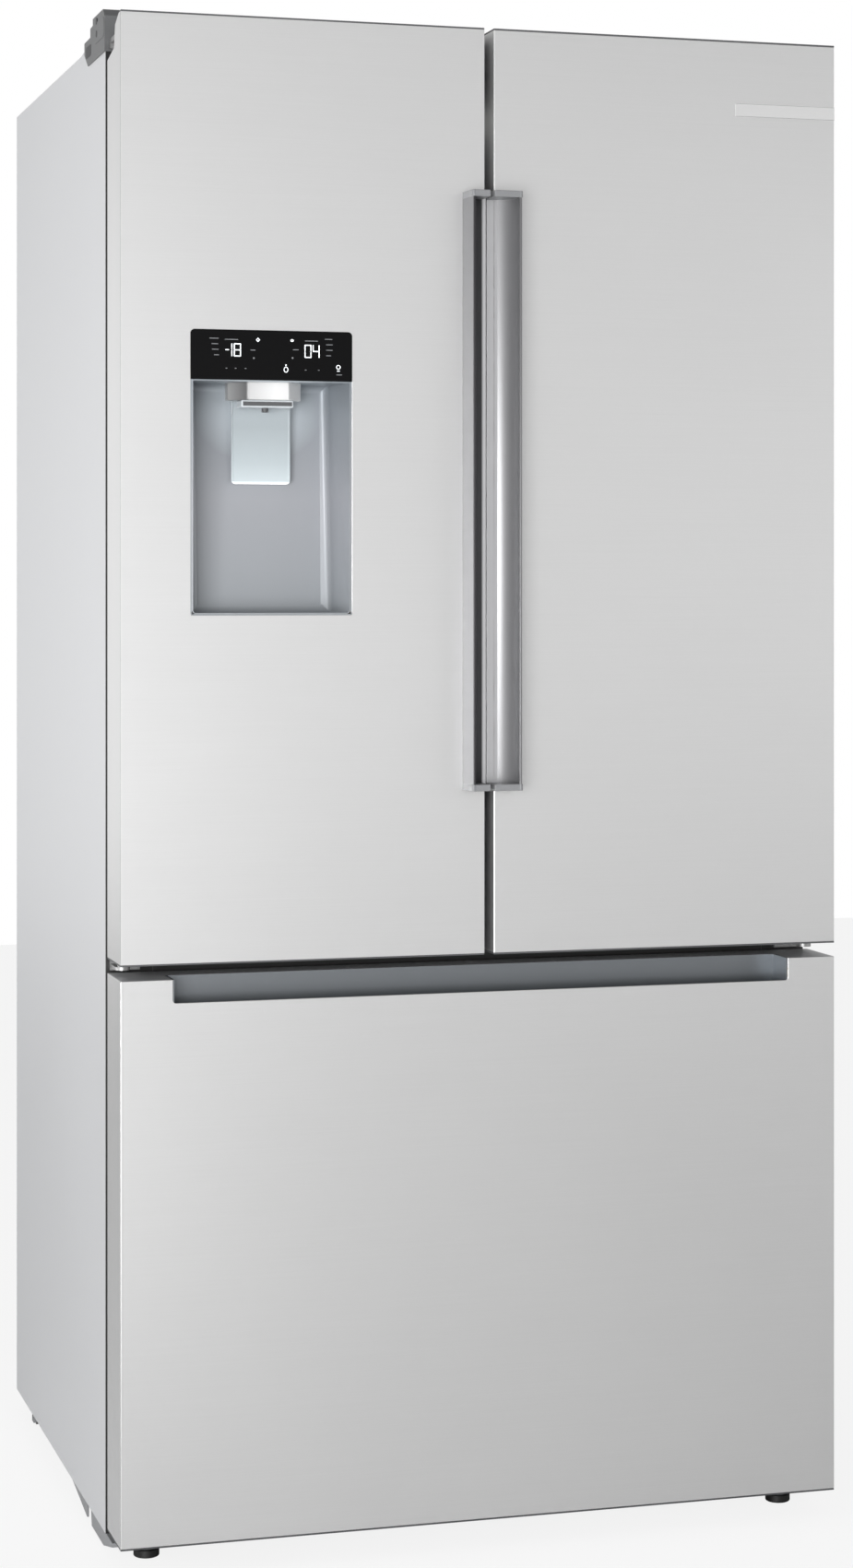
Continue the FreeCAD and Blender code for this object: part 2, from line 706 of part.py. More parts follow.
def pin_bores():
    radius = s.pin_radius + s.bore_fit
    return [hinge_pin(radius, notch_low - s.pin_reach - beyond, s.door_high + beyond),
            hinge_pin(radius, door_low - beyond, door_low + s.pin_reach + beyond)]


def door_skin():
    inner = box((gap_half + s.skin, half - s.skin), (face + s.skin, door_back + beyond),
                (door_low - beyond, s.door_high + beyond))
    return cut(door_block((gap_half, half), (face, door_back),
                          (door_low + s.cap_lip, s.door_high - s.cap_lip)), inner)


def door_caps():
    """End caps inside the skin, each with a lip that covers the skin's edge."""
    across = (gap_half + s.skin, half - s.skin)
    deep = (face + s.skin, door_back)
    high_cap = fuse(door_block(across, deep, (s.door_high - s.cap, s.door_high)),
                    door_block((gap_half, half), (face, door_back),
                               (s.door_high - s.cap_lip, s.door_high)))
    low_cap = fuse(box(across, deep, (door_low, door_low + s.cap)),
                   box((gap_half, half), (face, door_back), (door_low, door_low + s.cap_lip)))
    return group(high_cap, cut(low_cap, pin_bores()[1]))


def door_foam():
    whole = door_block((gap_half + s.skin, half - s.skin), (face + s.skin, door_back - s.liner),
                       (door_low + s.cap, s.door_high - s.cap))
    return cut(whole, *pin_bores())


def niche_foam():
    """The foam of the door with the dispenser: four blocks round its housing."""
    deep = (face + s.skin, door_back - s.liner)
    low, high = door_low + s.cap, s.door_high - s.cap
    hinge_side = common(mirrored(door_foam()),
                        box((-half, niche_left), (face, door_back), (low - beyond, high + beyond)))
    above = box((niche_left, niche_right), deep, (niche_high, high))
    below = box((niche_left, niche_right), deep, (low, niche_low))
    free_side = box((niche_right, -gap_half - s.skin), deep, (low, high))
    return group(hinge_side, above, below, free_side)


def door_liner(ribs_in):
    """Inner door sheet with two upright ribs that the bins hang between."""
    sheet_low, sheet_high = door_low + s.cap, s.door_high - s.cap
    plate = door_block((gap_half + s.skin, half - s.skin), (door_back - s.liner, door_back),
                       (sheet_low, sheet_high))
    bored = cut(plate, *pin_bores())
    low, high = divider_high + s.rib, fridge_top - s.rib
    deep = (door_back, door_back + s.rib_reach)
    outer = inside - s.rib
    ribs = [box((outer - s.rib, outer), deep, (low, high)),
            box((ribs_in, ribs_in + s.rib), deep, (low, high))]
    return fuse(bored, *ribs)


mullion_low = divider_high + s.rib
mullion_high = fridge_top - s.rib


def mullion_brackets():
    """Lugs on the left door that carry the folding mullion's pins."""
    lugs = []
    for low, high in ((mullion_low - s.mullion_end, mullion_low - s.fit),
                      (mullion_high + s.fit, mullion_high + s.mullion_end)):
        lugs.append(box((-s.bin_gap, -s.mullion_in + s.neck_radius),
                        (door_back, door_back + s.mullion_back + s.neck_radius), (low, high)))
    bore = cylinder("z", (-s.mullion_in, door_back + s.mullion_back), s.mullion_pin + s.bore_fit,
                    (mullion_low - s.mullion_end * 2, mullion_high + s.mullion_end * 2))
    return cut(group(*lugs), bore)


def mullion_bar():
    """The folding bar in its folded place, pointing back from the left door's edge."""
    hinge_y = door_back + s.mullion_back
    near = front + s.fit - hinge_y
    middle = hinge_y + s.mullion_in
    bar = box((-s.mullion_in - near - s.mullion_thick, -s.mullion_in - near),
              (middle - s.mullion_wide / 2, middle + s.mullion_wide / 2),
              (mullion_low, mullion_high))
    pin = cylinder("z", (-s.mullion_in, hinge_y), s.mullion_pin,
                   (mullion_low - s.mullion_end / 2, mullion_high + s.mullion_end / 2))
    knuckle = cylinder("z", (-s.mullion_in, hinge_y), s.neck_radius - beyond, (mullion_low, mullion_high))
    return fuse(bar, pin, knuckle)


def door_gasket():
    edge = half - s.gasket_edge
    return frame_ring((gap_half + s.gasket_in, edge), (door_back, front - s.fit),
                      (door_low + s.gasket_low, notch_low + s.gasket_over), s.gasket_width)


def handle():
    """A scooped bar beside the centre gap, with a flange folded into the gap."""
    middle = (door_low + s.door_high) / 2
    lip = face - s.handle_stand
    gap_side = gap_half - s.flange_fit
    flange_side = gap_half - s.flange
    return prism("z", (middle - s.handle_long / 2, middle + s.handle_long / 2), [
        (s.handle_out, face), (gap_side, face), (gap_side, face + s.flange_reach),
        (flange_side, face + s.flange_reach), (flange_side, face - s.flange),
        (s.handle_in, face - s.flange), (s.handle_lip - s.lip_radius, lip, -s.scoop_radius),
        (s.handle_lip + s.fit, lip, s.lip_radius)])


def bins(levels, left_end, right_end):
    rows = [open_tray((left_end, right_end), (door_back + s.fit, door_back + s.rib_reach),
                      (low, low + s.bin_high), s.bin_wall) for low in levels]
    return group(*rows)


# Dispenser in the left door
niche_left = s.niche_in - half
niche_right = niche_left + s.niche_wide
niche_middle = (niche_left + niche_right) / 2
niche_high = s.door_high - s.niche_drop
niche_low = niche_high - s.niche_tall
panel_low = niche_high - s.panel_tall
paddle_axis = (face + s.paddle_back + s.axle_radius, panel_low - s.axle_drop)
spout_low = panel_low - s.spout_high
nozzle_y = face + (s.spout_front + s.spout_back) / 2


def niche_space():
    """The hollow of the dispenser: side walls that close in, over a sloping back."""
    low = niche_low + s.niche_lip
    sides = prism("z", (low, panel_low),
                  [(niche_left + s.niche_lip, face - beyond),
                   (niche_right - s.niche_lip, face - beyond),
                   (niche_right - s.niche_taper, face + s.niche_deep),
                   (niche_left + s.niche_taper, face + s.niche_deep)])
    slope = prism("x", (niche_left, niche_right),
                  [(face - beyond, low), (face + s.niche_shallow, low),
                   (face + s.niche_deep, panel_low), (face - beyond, panel_low)])
    return common(sides, slope)


def dispenser_housing():
    block = fuse(rounded_slab((niche_left, niche_right), (face, face + s.skin),
                              (niche_low, niche_high), s.niche_lip, s.niche_lip),
                 box((niche_left, niche_right), (face + s.skin, door_back - s.liner),
                     (niche_low, niche_high)))
    panel_seat = box((niche_left - beyond, niche_right + beyond),
                     (face - beyond, face + s.panel_thick), (panel_low, niche_high + beyond))
    lugs = []
    for side in (-1, 1):
        inner = niche_middle + side * (s.paddle_wide / 2 + s.fit)
        outer = inner + side * s.lug
        span = (outer, inner) if side < 0 else (inner, outer)
        lugs.append(cut(box(span, (paddle_axis[0] - s.lug, paddle_axis[0] + s.lug),
                            (paddle_axis[1] - s.lug, panel_low)),
                        cylinder("x", paddle_axis, s.axle_radius + s.bore_fit,
                                 (span[0] - beyond, span[1] + beyond))))
    return fuse(cut(block, niche_space(), panel_seat), *lugs)


def dispenser_paddle():
    y = face + s.paddle_back
    plate = box((niche_middle - s.paddle_wide / 2, niche_middle + s.paddle_wide / 2),
                (y, y + s.paddle_thick), (panel_low - s.paddle_hang, paddle_axis[1]))
    axle = cylinder("x", paddle_axis, s.axle_radius,
                    (niche_middle - s.paddle_wide / 2 - s.lug, niche_middle + s.paddle_wide / 2 + s.lug))
    return fuse(plate, axle)


def control_panel():
    return prism("y", (face - s.panel_proud, face + s.panel_thick),
                 [(niche_left, panel_low), (niche_right, panel_low),
                  (niche_right, niche_high - s.niche_lip),
                  (niche_right - s.niche_lip, niche_high, s.niche_lip),
                  (niche_left + s.niche_lip, niche_high),
                  (niche_left, niche_high - s.niche_lip, s.niche_lip)])


def dispenser_spout():
    x = niche_middle
    near = face + s.spout_front
    return prism("z", (panel_low - s.spout_high, panel_low),
                 [(x - s.spout_face / 2, near), (x + s.spout_face / 2, near),
                  (x + s.spout_wide / 2, near + s.spout_chamfer),
                  (x + s.spout_wide / 2, face + s.spout_back),
                  (x - s.spout_wide / 2, face + s.spout_back),
                  (x - s.spout_wide / 2, near + s.spout_chamfer)])


def spout_collar():
    ring = cylinder("z", (niche_middle, nozzle_y), s.nozzle_radius + s.fit,
                    (spout_low - s.collar_high - beyond, spout_low + beyond))
    return cut(box((niche_middle - s.collar_wide / 2, niche_middle + s.collar_wide / 2),
                   (face + s.spout_front + s.lug, face + s.spout_back - s.lug),
                   (spout_low - s.collar_high, spout_low)), ring)


def water_nozzle():
    return cylinder("z", (niche_middle, nozzle_y), s.nozzle_radius,
                    (spout_low - s.nozzle_long, spout_low))


# Freezer drawer
grip_low = s.drawer_high - s.grip_high
grip_half = half - s.grip_in
basket_half = inside - s.basket_in
basket_span = (face + s.basket_front, step_back - s.basket_gap)


def drawer_skin():
    outside = box((-half, half), (face, door_back), (s.drawer_low + s.cap_lip, s.drawer_high))
    inner = box((s.skin - half, half - s.skin), (face + s.skin, door_back + beyond),
                (s.drawer_low - beyond, s.drawer_high + beyond))
    corner = s.grip_corner
    mouth = prism("y", (face - beyond, face + s.skin + beyond), [
        (grip_half - corner, grip_low), (grip_half, grip_low + corner, corner),
        (grip_half, s.drawer_high + beyond), (-grip_half, s.drawer_high + beyond),
        (-grip_half, grip_low + corner), (corner - grip_half, grip_low, corner)])
    return cut(outside, inner, mouth)


def drawer_grip():
    """Channel behind the top front edge that the fingers hook into, closed at its ends."""
    low = grip_low - s.grip_drop
    near = face + s.skin
    far = near + s.grip_deep
    wall = s.grip_wall
    bend = s.grip_drop / 2
    outer = [(near, low + bend), (near + bend, low, bend), (far - bend, low), (far, low + bend, bend),
             (far, s.drawer_high), (far - wall, s.drawer_high), (far - wall, low + bend),
             (far - bend, low + wall, wall - bend), (near + bend, low + wall),
             (near + wall, low + bend, wall - bend), (near + wall, grip_low), (near, grip_low)]
    channel = prism("x", (-grip_half, grip_half), outer)
    end = prism("x", (grip_half - wall, grip_half),
                outer[:5] + [(near, s.drawer_high)])
    return fuse(channel, end, mirrored(end))


def drawer_foam():
    low, high = s.drawer_low + s.cap, s.drawer_high - s.cap
    deep = (face + s.skin, door_back - s.liner)
    grip_under = grip_low - s.grip_drop
    side = box((grip_half, half - s.skin), deep, (grip_under, high))
    return group(box((s.skin - half, half - s.skin), deep, (low, grip_under)), side, mirrored(side),
                 box((-grip_half, grip_half), (face + s.skin + s.grip_deep, door_back - s.liner),
                     (grip_under, high)))


def drawer_caps():
    across = (s.skin - half, half - s.skin)
    deep = (face + s.skin, door_back)
    top = cut(box(across, deep, (s.drawer_high - s.cap, s.drawer_high)),
              box((-grip_half, grip_half), (face, face + s.skin + s.grip_deep),
                  (s.drawer_high - s.cap - beyond, s.drawer_high + beyond)))
    low = fuse(box(across, deep, (s.drawer_low, s.drawer_low + s.cap)),
               box((-half, half), (face, door_back), (s.drawer_low, s.drawer_low + s.cap_lip)))
    return group(top, low)


def drawer_liner():
    """Inner sheet of the drawer front, with the two posts that hold the basket and rails."""
    plate = box((s.skin - half, half - s.skin), (door_back - s.liner, door_back),
                (s.drawer_low + s.cap, s.drawer_high - s.cap))
    post = box((basket_half, rail_inner_x), (door_back, face + s.basket_front),
               (s.basket_low, s.rail_high + s.rib))
    return fuse(plate, post, mirrored(post))


def drawer_gasket():
    edge = half - s.gasket_edge
    return frame_ring((-edge, edge), (door_back, front - s.fit),
                      (s.drawer_low + s.drawer_gasket_low, s.drawer_high - s.drawer_gasket_drop),
                      s.gasket_width)


def freezer_basket():
    return open_tray((-basket_half, basket_half), basket_span, (s.basket_low, s.basket_high),
                     s.bin_wall)


def freezer_tray():
    return open_tray((s.lug - basket_half, basket_half - s.lug),
                     (basket_span[0], basket_span[0] + s.tray_deep),
                     (s.basket_high + s.fit, s.basket_high + s.tray_high), s.bin_wall)


# Telescopic rails, nested from the liner inwards
rail_outer_x = inside
rail_inner_x = inside - s.rail_thick - s.rail_web / 2


def rail_channel(out, inn, low, high, web, y):
    """A C section, open towards the middle of the cabinet."""
    return prism("y", y, [(inn, low), (out, low), (out, high), (inn, high), (inn, high - web),
                          (out - web, high - web), (out - web, low + web), (inn, low + web)])


rail_span = (face + s.rail_front, step_back - s.rail_gap)


def fixed_rails():
    return pair(rail_channel(rail_outer_x, rail_outer_x - s.rail_thick, s.rail_low, s.rail_high,
                             s.rail_web, rail_span))


def middle_rails():
    out = rail_outer_x - s.rail_web - s.fit
    return pair(rail_channel(out, rail_outer_x - s.rail_thick, s.rail_low + s.rail_web + s.fit,
                             s.rail_high - s.rail_web - s.fit, s.rail_web, rail_span))


def inner_rails():
    out = rail_outer_x - s.rail_web * 2 - s.fit * 2
    low = s.rail_low + s.rail_web * 2 + s.fit * 2
    high = s.rail_high - s.rail_web * 2 - s.fit * 2
    return pair(box((rail_inner_x - s.rail_web, out), (basket_span[0], rail_span[1]), (low, high)))


# Fridge compartment
shelf_back = fridge_back - s.liner - s.track_thick
crisper_top = divider_high + s.liner + s.crisper_high
crisper_cover = crisper_top + s.track_thick
shelf_pitch = (fridge_top - s.shelf_head - crisper_cover) / (SHELVES - 1)
shelf_levels = [crisper_cover + shelf_pitch * level for level in range(SHELVES)]


def glass_shelves():
    panes = []
    for level in shelf_levels:
        pane = box((s.lug + s.lug, inside - s.lug), (face + s.shelf_front + s.lug, shelf_back - s.lug),
                   (level, level + s.shelf_glass))
        panes += pair_of(pane)
    return group(*panes)


def shelf_frames():
    frames = []
    for level in shelf_levels:
        ring = cut(box((s.lug, inside - s.fit), (face + s.shelf_front, shelf_back),
                       (level - s.shelf_trim / 2, level + s.shelf_trim / 2)),
                   box((s.shelf_trim, inside - s.shelf_trim),
                       (face + s.shelf_front + s.shelf_trim, shelf_back - s.shelf_trim),
                       (level - s.shelf_trim, level + s.shelf_trim)),
                   box((s.lug + s.lug, inside - s.lug),
                       (face + s.shelf_front + s.lug, shelf_back - s.lug),
                       (level, level + s.shelf_trim)))
        frames += pair_of(ring)
    return group(crisper_divider(), *frames)


def shelf_tracks():
    tracks = []
    for x in (inside - s.track_wide * 2, s.duct_half + s.track_wide):
        tracks += pair_of(box((x, x + s.track_wide), (shelf_back, fridge_back - s.liner),
                              (crisper_top + s.track_thick, fridge_top - s.rib * 2)))
    return group(*tracks)


def air_duct():
    plate = box((-s.duct_half, s.duct_half), (shelf_back + s.fit, fridge_back - s.liner),
                (crisper_top + s.rib, fridge_top - s.liner))
    slots = [box((-s.duct_half / 2, s.duct_half / 2),
                 (shelf_back - beyond, shelf_back + s.track_thick / 2),
                 (level + s.rib * 3, level + s.rib * 3 + s.lug)) for level in shelf_levels]
    return cut(plate, *slots)


def ceiling_lamp():
    return box((-s.lamp_half, s.lamp_half), (face + s.shelf_front, face + s.shelf_front + s.lamp_deep),
               (fridge_top - s.liner - s.lamp_thick, fridge_top - s.liner))


def crisper():
    return open_tray((s.lug, inside - s.fit * 2), (face + s.shelf_front, shelf_back),
                     (divider_high + s.liner + s.fit, crisper_top - s.fit * 3), s.crisper_wall)


def crisper_divider():
    """Upright wall between the crispers that carries their cover."""
    return box((-s.lug + s.fit, s.lug - s.fit), (face + s.shelf_front + s.rib, shelf_back),
               (divider_high + s.liner, shelf_levels[0] - s.shelf_trim / 2))


def build():
    node("cabinet_shell", group(cabinet_shell(), *front_rails()))
    node("insulation", insulation())
    node("fridge_liner", fridge_liner())
    node("freezer_liner", freezer_liner())
    node("base_pan", base_pan())
    node("levelling_feet", levelling_feet())
    node("compressor", group(compressor(), *compressor_mounts()))
    node("condenser_coil", condenser_coil())
    node("fan_motors", fan_motors())
    node("evaporator_cover", evaporator_cover())
    node("door_hinges", door_hinges())
    node("hinge_covers", pair(hinge_cover()))
    node("hinge_screws", hinge_screws())
    node("glass_shelves", glass_shelves())
    node("shelf_frames", shelf_frames())
    node("shelf_tracks", shelf_tracks())
    node("air_duct", air_duct())
    node("ceiling_lamp", ceiling_lamp())
    node("fixed_rails", fixed_rails())
    node("front_rollers", rollers(face + s.front_roller))
    node("rear_rollers", rollers(back - s.rear_roller))
    node("condenser_fan", condenser_fan())
    node("evaporator_fan", evaporator_fan())

    node("rear_covers", group(rear_cover(), machine_cover()))
    node("water_valve", water_valve())
    node("mains_inlet", mains_inlet())

    skin = door_skin()
    caps = door_caps()
    gasket = door_gasket()
    grip = handle()
    niche_mouth = rounded_slab((niche_left, niche_right), (face - beyond, face + s.skin + beyond),
                               (niche_low, niche_high), s.niche_lip, s.niche_lip)
    node("left_door_skin", cut(mirrored(skin), niche_mouth))
    node("left_door_caps", mirrored(caps))
    node("left_door_foam", niche_foam())
    node("left_door_liner", fuse(mirrored(door_liner(s.bin_gap)), mullion_brackets()))
    node("left_door_gasket", mirrored(gasket))
    node("left_handle", mirrored(grip))
    rib_inner = s.bin_gap + s.rib + s.fit
    rib_outer = inside - s.rib * 2 - s.fit
    first = crisper_top + s.bin_high
    node("left_door_bins", bins([first, first + shelf_pitch], -rib_outer, -rib_inner))
    ice_low = first + shelf_pitch * 2 + s.rib
    node("ice_bin", open_tray((-rib_outer, -rib_inner), (door_back + s.fit, door_back + s.ice_reach),
                              (ice_low, fridge_top - s.ice_drop), s.bin_wall))
    node("mullion_bar", mullion_bar())
    node("dispenser_housing", dispenser_housing())
    node("control_panel", control_panel())
    node("dispenser_spout", dispenser_spout())
    node("water_nozzle", group(spout_collar(), water_nozzle()))
    node("dispenser_paddle", dispenser_paddle())

    node("right_door_skin", skin)
    node("right_door_caps", caps)
    node("right_door_foam", door_foam())
    node("right_door_liner", door_liner(s.bin_gap))
    node("right_door_gasket", gasket)
    node("right_handle", grip)
    node("right_door_bins", bins([first + shelf_pitch * level for level in range(SHELVES)],
                                 rib_inner, rib_outer))
    strip_high = s.door_high - s.strip_drop
    node("trim_strip", box((half - s.strip_long, half), (face - s.strip_proud, face),
                           (strip_high - s.strip_tall, strip_high)))

    node("drawer_skin", drawer_skin())
    node("drawer_caps", drawer_caps())
    node("drawer_foam", drawer_foam())
    node("drawer_liner", drawer_liner())
    node("drawer_gasket", drawer_gasket())
    node("drawer_grip", drawer_grip())
    node("freezer_basket", freezer_basket())
    node("inner_rails", inner_rails())
    node("freezer_tray", freezer_tray())
    node("middle_rails", middle_rails())
    node("crisper_left", mirrored(crisper()))
    node("crisper_right", crisper())


build()
doc.recompute()
for thing in doc.Objects:
    if "Invalid" in thing.State or "Error" in thing.State:
        raise RuntimeError("%s (%s) failed" % (thing.Label, thing.Name))
os.makedirs("parts", exist_ok=True)
for label, thing in NODES.items():
    if thing.Shape.isNull() or not thing.Shape.isValid():
        raise RuntimeError(label + " has no valid shape")
    thing.Shape.exportStep("parts/%s.step" % label)
print(len(NODES), "nodes written")
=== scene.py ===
import math

import bmesh
import bpy
from mathutils import Matrix, Vector


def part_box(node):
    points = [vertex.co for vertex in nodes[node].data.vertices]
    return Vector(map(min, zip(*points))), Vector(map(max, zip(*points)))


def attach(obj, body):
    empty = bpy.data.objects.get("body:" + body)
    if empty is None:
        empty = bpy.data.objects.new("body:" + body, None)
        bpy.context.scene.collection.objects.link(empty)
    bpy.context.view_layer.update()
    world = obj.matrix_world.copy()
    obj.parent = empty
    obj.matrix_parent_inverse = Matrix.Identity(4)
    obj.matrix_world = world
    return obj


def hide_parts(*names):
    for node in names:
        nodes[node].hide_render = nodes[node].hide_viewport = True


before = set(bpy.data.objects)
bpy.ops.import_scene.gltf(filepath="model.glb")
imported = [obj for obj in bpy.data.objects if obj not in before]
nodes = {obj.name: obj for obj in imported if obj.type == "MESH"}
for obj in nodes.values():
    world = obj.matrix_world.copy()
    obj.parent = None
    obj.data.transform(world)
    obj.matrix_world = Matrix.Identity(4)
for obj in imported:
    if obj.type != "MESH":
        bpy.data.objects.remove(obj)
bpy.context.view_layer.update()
mm = 0.001
print("frame loaded with", len(nodes), "nodes")


# Shader maths: a socket that can be added, multiplied and compared
class Wire:
    def __init__(self, tree, socket):
        self.tree = tree
        self.socket = socket

    def math(self, operation, *others):
        return addNode(self.tree, "ShaderNodeMath", {"operation": operation}, [self, *others])

    def __add__(self, other):
        return self.math("ADD", other)

    def __radd__(self, other):
        return self.math("ADD", other)

    def __sub__(self, other):
        return self.math("SUBTRACT", other)

    def __rsub__(self, other):
        return addNode(self.tree, "ShaderNodeMath", {"operation": "SUBTRACT"}, [other, self])

    def __mul__(self, other):
        return self.math("MULTIPLY", other)

    def __rmul__(self, other):
        return self.math("MULTIPLY", other)

    def __truediv__(self, other):
        return self.math("DIVIDE", other)

    def __gt__(self, other):
        return self.math("GREATER_THAN", other)

    def __lt__(self, other):
        return self.math("LESS_THAN", other)


def feed(tree, socket, item):
    if isinstance(item, Wire):
        tree.links.new(item.socket, socket)
    elif item is not None:
        socket.default_value = item


def addNode(tree, kind, settings=None, inputs=None, output=0):
    node = tree.nodes.new(kind)
    for name, setting in (settings or {}).items():
        if name == "stops":
            ramp = node.color_ramp
            while len(ramp.elements) < len(setting):
                ramp.elements.new(0.5)
            for element, (place, colour) in zip(ramp.elements, setting):
                element.position = place
                element.color = (*colour, 1)
        else:
            setattr(node, name, setting)
    pairs = inputs.items() if isinstance(inputs, dict) else enumerate(inputs or [])
    for place, item in pairs:
        feed(tree, node.inputs[place], item)
    return Wire(tree, node.outputs[output])


def grey(level):
    return (level, level, level)


def linear(level):
    # sRGB 0..255 to scene linear
    share = level / 255
    return share / 12.92 if share <= 0.04045 else ((share + 0.055) / 1.055) ** 2.4


def shade(*levels):
    values = [linear(level) for level in levels]
    return tuple(values * 3 if len(values) == 1 else values)


def newMaterial(name, colour, rough=0.5, metal=0.0, **extra):
    material = bpy.data.materials.new(name)
    material.use_nodes = True
    tree = material.node_tree
    shader = tree.nodes["Principled BSDF"]
    shader.inputs["Base Color"].default_value = (*colour, 1)
    shader.inputs["Roughness"].default_value = rough
    shader.inputs["Metallic"].default_value = metal
    for socket, value in extra.items():
        shader.inputs[socket.replace("_", " ")].default_value = value
    return material, tree, shader


def coordinates(tree, scale=(1, 1, 1), place=(0, 0, 0)):
    point = addNode(tree, "ShaderNodeTexCoord", output=3)
    return addNode(tree, "ShaderNodeMapping", {}, {"Vector": point, "Location": place, "Scale": scale})


def noise(tree, vector, scale, detail=2.0, rough=0.5):
    return addNode(tree, "ShaderNodeTexNoise", {}, {"Vector": vector, "Scale": scale, "Detail": detail,
                                                    "Roughness": rough})


def mixColour(tree, share, first, second):
    def four(colour):
        return colour if isinstance(colour, Wire) else (*colour, 1)
    return addNode(tree, "ShaderNodeMix", {"data_type": "RGBA"},
                   {0: share, 6: four(first), 7: four(second)}, output=2)


def bump(tree, height, strength, distance):
    return addNode(tree, "ShaderNodeBump", {}, {"Height": height, "Strength": strength,
                                                "Distance": distance})


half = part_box("cabinet_shell")[1].x
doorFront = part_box("drawer_skin")[0].y
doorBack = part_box("drawer_skin")[1].y
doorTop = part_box("right_door_caps")[1].z
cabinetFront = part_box("cabinet_shell")[0].y


def position(tree):
    # the point in metres, as three numbers
    split = tree.nodes.new("ShaderNodeSeparateXYZ")
    feed(tree, split.inputs[0], addNode(tree, "ShaderNodeTexCoord", output=3))
    return [Wire(tree, split.outputs[index]) for index in range(3)]


# the seam colour is painted shade: a dark band in the fold crease just behind the front edge of the door sides
steelLook = {"colour": shade(222), "dark": shade(208), "rough": 0.34, "metal": 0.78,
             "streaks": (7, 7, 2400), "cloud": 2.0, "seam": shade(96),
             "foldShadeFrom": 0.7 * mm, "foldShadeTo": 2.1 * mm}


def brushedSteel(name, look):
    # long fine streaks along the brushing, a slow cloud, and painted shade in the fold crease beside the front edge
    material, tree, shader = newMaterial(name, look["colour"], look["rough"], look["metal"])
    streaks = noise(tree, coordinates(tree, look["streaks"]), 1.0, 3.0, 0.6)
    cloud = noise(tree, coordinates(tree), look["cloud"], 2.0)
    colour = mixColour(tree, streaks * 0.55 + cloud * 0.45, look["dark"], look["colour"])
    x, y, z = position(tree)
    side = x.math("ABSOLUTE") > half - 0.3 * mm
    # painted shade in the fold crease on the sides, just behind the front edge
    seam = side * (y > doorFront + look["foldShadeFrom"]) * (y < doorFront + look["foldShadeTo"])
    feed(tree, shader.inputs["Base Color"], mixColour(tree, seam, colour, look["seam"]))
    feed(tree, shader.inputs["Roughness"], look["rough"] - 0.06 + streaks * 0.12)
    feed(tree, shader.inputs["Normal"], bump(tree, streaks, 0.06, 0.0004))
    return material


def caseLook(name):
    # painted sheet; the front rim that the door gaskets close on is painted dark, as painted shade for the gap behind
    # the doors
    colour, rim = shade(196, 197, 199), shade(34)
    material, tree, shader = newMaterial(name, colour, 0.42, 0.15)
    fine = noise(tree, coordinates(tree), 1500, 2.0)
    broad = noise(tree, coordinates(tree), 2.5, 2.0)
    paint = mixColour(tree, broad, tuple(part * 0.95 for part in colour), colour)
    x, y, z = position(tree)
    # painted shade on the front rim
    feed(tree, shader.inputs["Base Color"], mixColour(tree, y < cabinetFront + 0.4 * mm, paint, rim))
    feed(tree, shader.inputs["Roughness"], 0.38 + broad * 0.08)
    feed(tree, shader.inputs["Normal"], bump(tree, fine, 0.04, 0.0002))
    return material


def banded(name, low, high, level, rough=0.45, metal=0.0):
    # one finish below a height and another above it
    material, tree, shader = newMaterial(name, low, rough, metal)
    fine = noise(tree, coordinates(tree), 1300, 2.0)
    x, y, z = position(tree)
    feed(tree, shader.inputs["Base Color"], mixColour(tree, z > level, low, high))
    feed(tree, shader.inputs["Roughness"], rough - 0.04 + fine * 0.08)
    feed(tree, shader.inputs["Normal"], bump(tree, fine, 0.06, 0.0002))
    return material


def satinMetal(name, colour, rough, metal=0.85, grain=900):
    material, tree, shader = newMaterial(name, colour, rough, metal)
    fine = noise(tree, coordinates(tree, (1, 1, 0.02)), grain, 2.0)
    feed(tree, shader.inputs["Roughness"], rough - 0.04 + fine * 0.08)
    feed(tree, shader.inputs["Normal"], bump(tree, fine, 0.05, 0.0002))
    return material


def moulded(name, colour, rough=0.45, grain=1400, depth=0.12, **extra):
    # moulded plastic: fine spark grain and slightly uneven gloss
    material, tree, shader = newMaterial(name, colour, rough, **extra)
    fine = noise(tree, coordinates(tree), grain, 2.0)
    broad = noise(tree, coordinates(tree), 6.0, 2.0)
    darker = tuple(part * 0.94 for part in colour)
    feed(tree, shader.inputs["Base Color"], mixColour(tree, broad, darker, colour))
    feed(tree, shader.inputs["Roughness"], rough - 0.05 + broad * 0.1)
    feed(tree, shader.inputs["Normal"], bump(tree, fine, depth, 0.0002))
    return material


def clearPlastic(name, colour, alpha, rough=0.12):
    material, tree, shader = newMaterial(name, colour, rough, Alpha=alpha)
    cloud = noise(tree, coordinates(tree), 9.0, 2.0)
    feed(tree, shader.inputs["Roughness"], rough + cloud * 0.06)
    feed(tree, shader.inputs["Alpha"], alpha - 0.04 + cloud * 0.08)
    return material


def foamLook(name):
    # cellular foam, behind a dark moulding where the hinge notch cuts into a door
    material, tree, shader = newMaterial(name, shade(226, 214, 170), 0.9)
    cells = noise(tree, coordinates(tree), 420, 4.0)
    foam = mixColour(tree, cells, shade(205, 190, 140), shade(236, 226, 186))
    x, y, z = position(tree)
    notch = (x.math("ABSOLUTE") > half - 29 * mm) * (y < doorBack) * (z > doorTop - 50 * mm)
    feed(tree, shader.inputs["Base Color"], mixColour(tree, notch, foam, shade(70, 71, 73)))
    feed(tree, shader.inputs["Normal"], bump(tree, cells, 0.5, 0.001))
    return material


def rubberLook(name, colour, rough=0.62):
    material, tree, shader = newMaterial(name, colour, rough)
    fine = noise(tree, coordinates(tree), 700, 3.0)
    feed(tree, shader.inputs["Base Color"], mixColour(tree, fine, tuple(c * 0.8 for c in colour), colour))
    feed(tree, shader.inputs["Normal"], bump(tree, fine, 0.2, 0.0003))
    return material


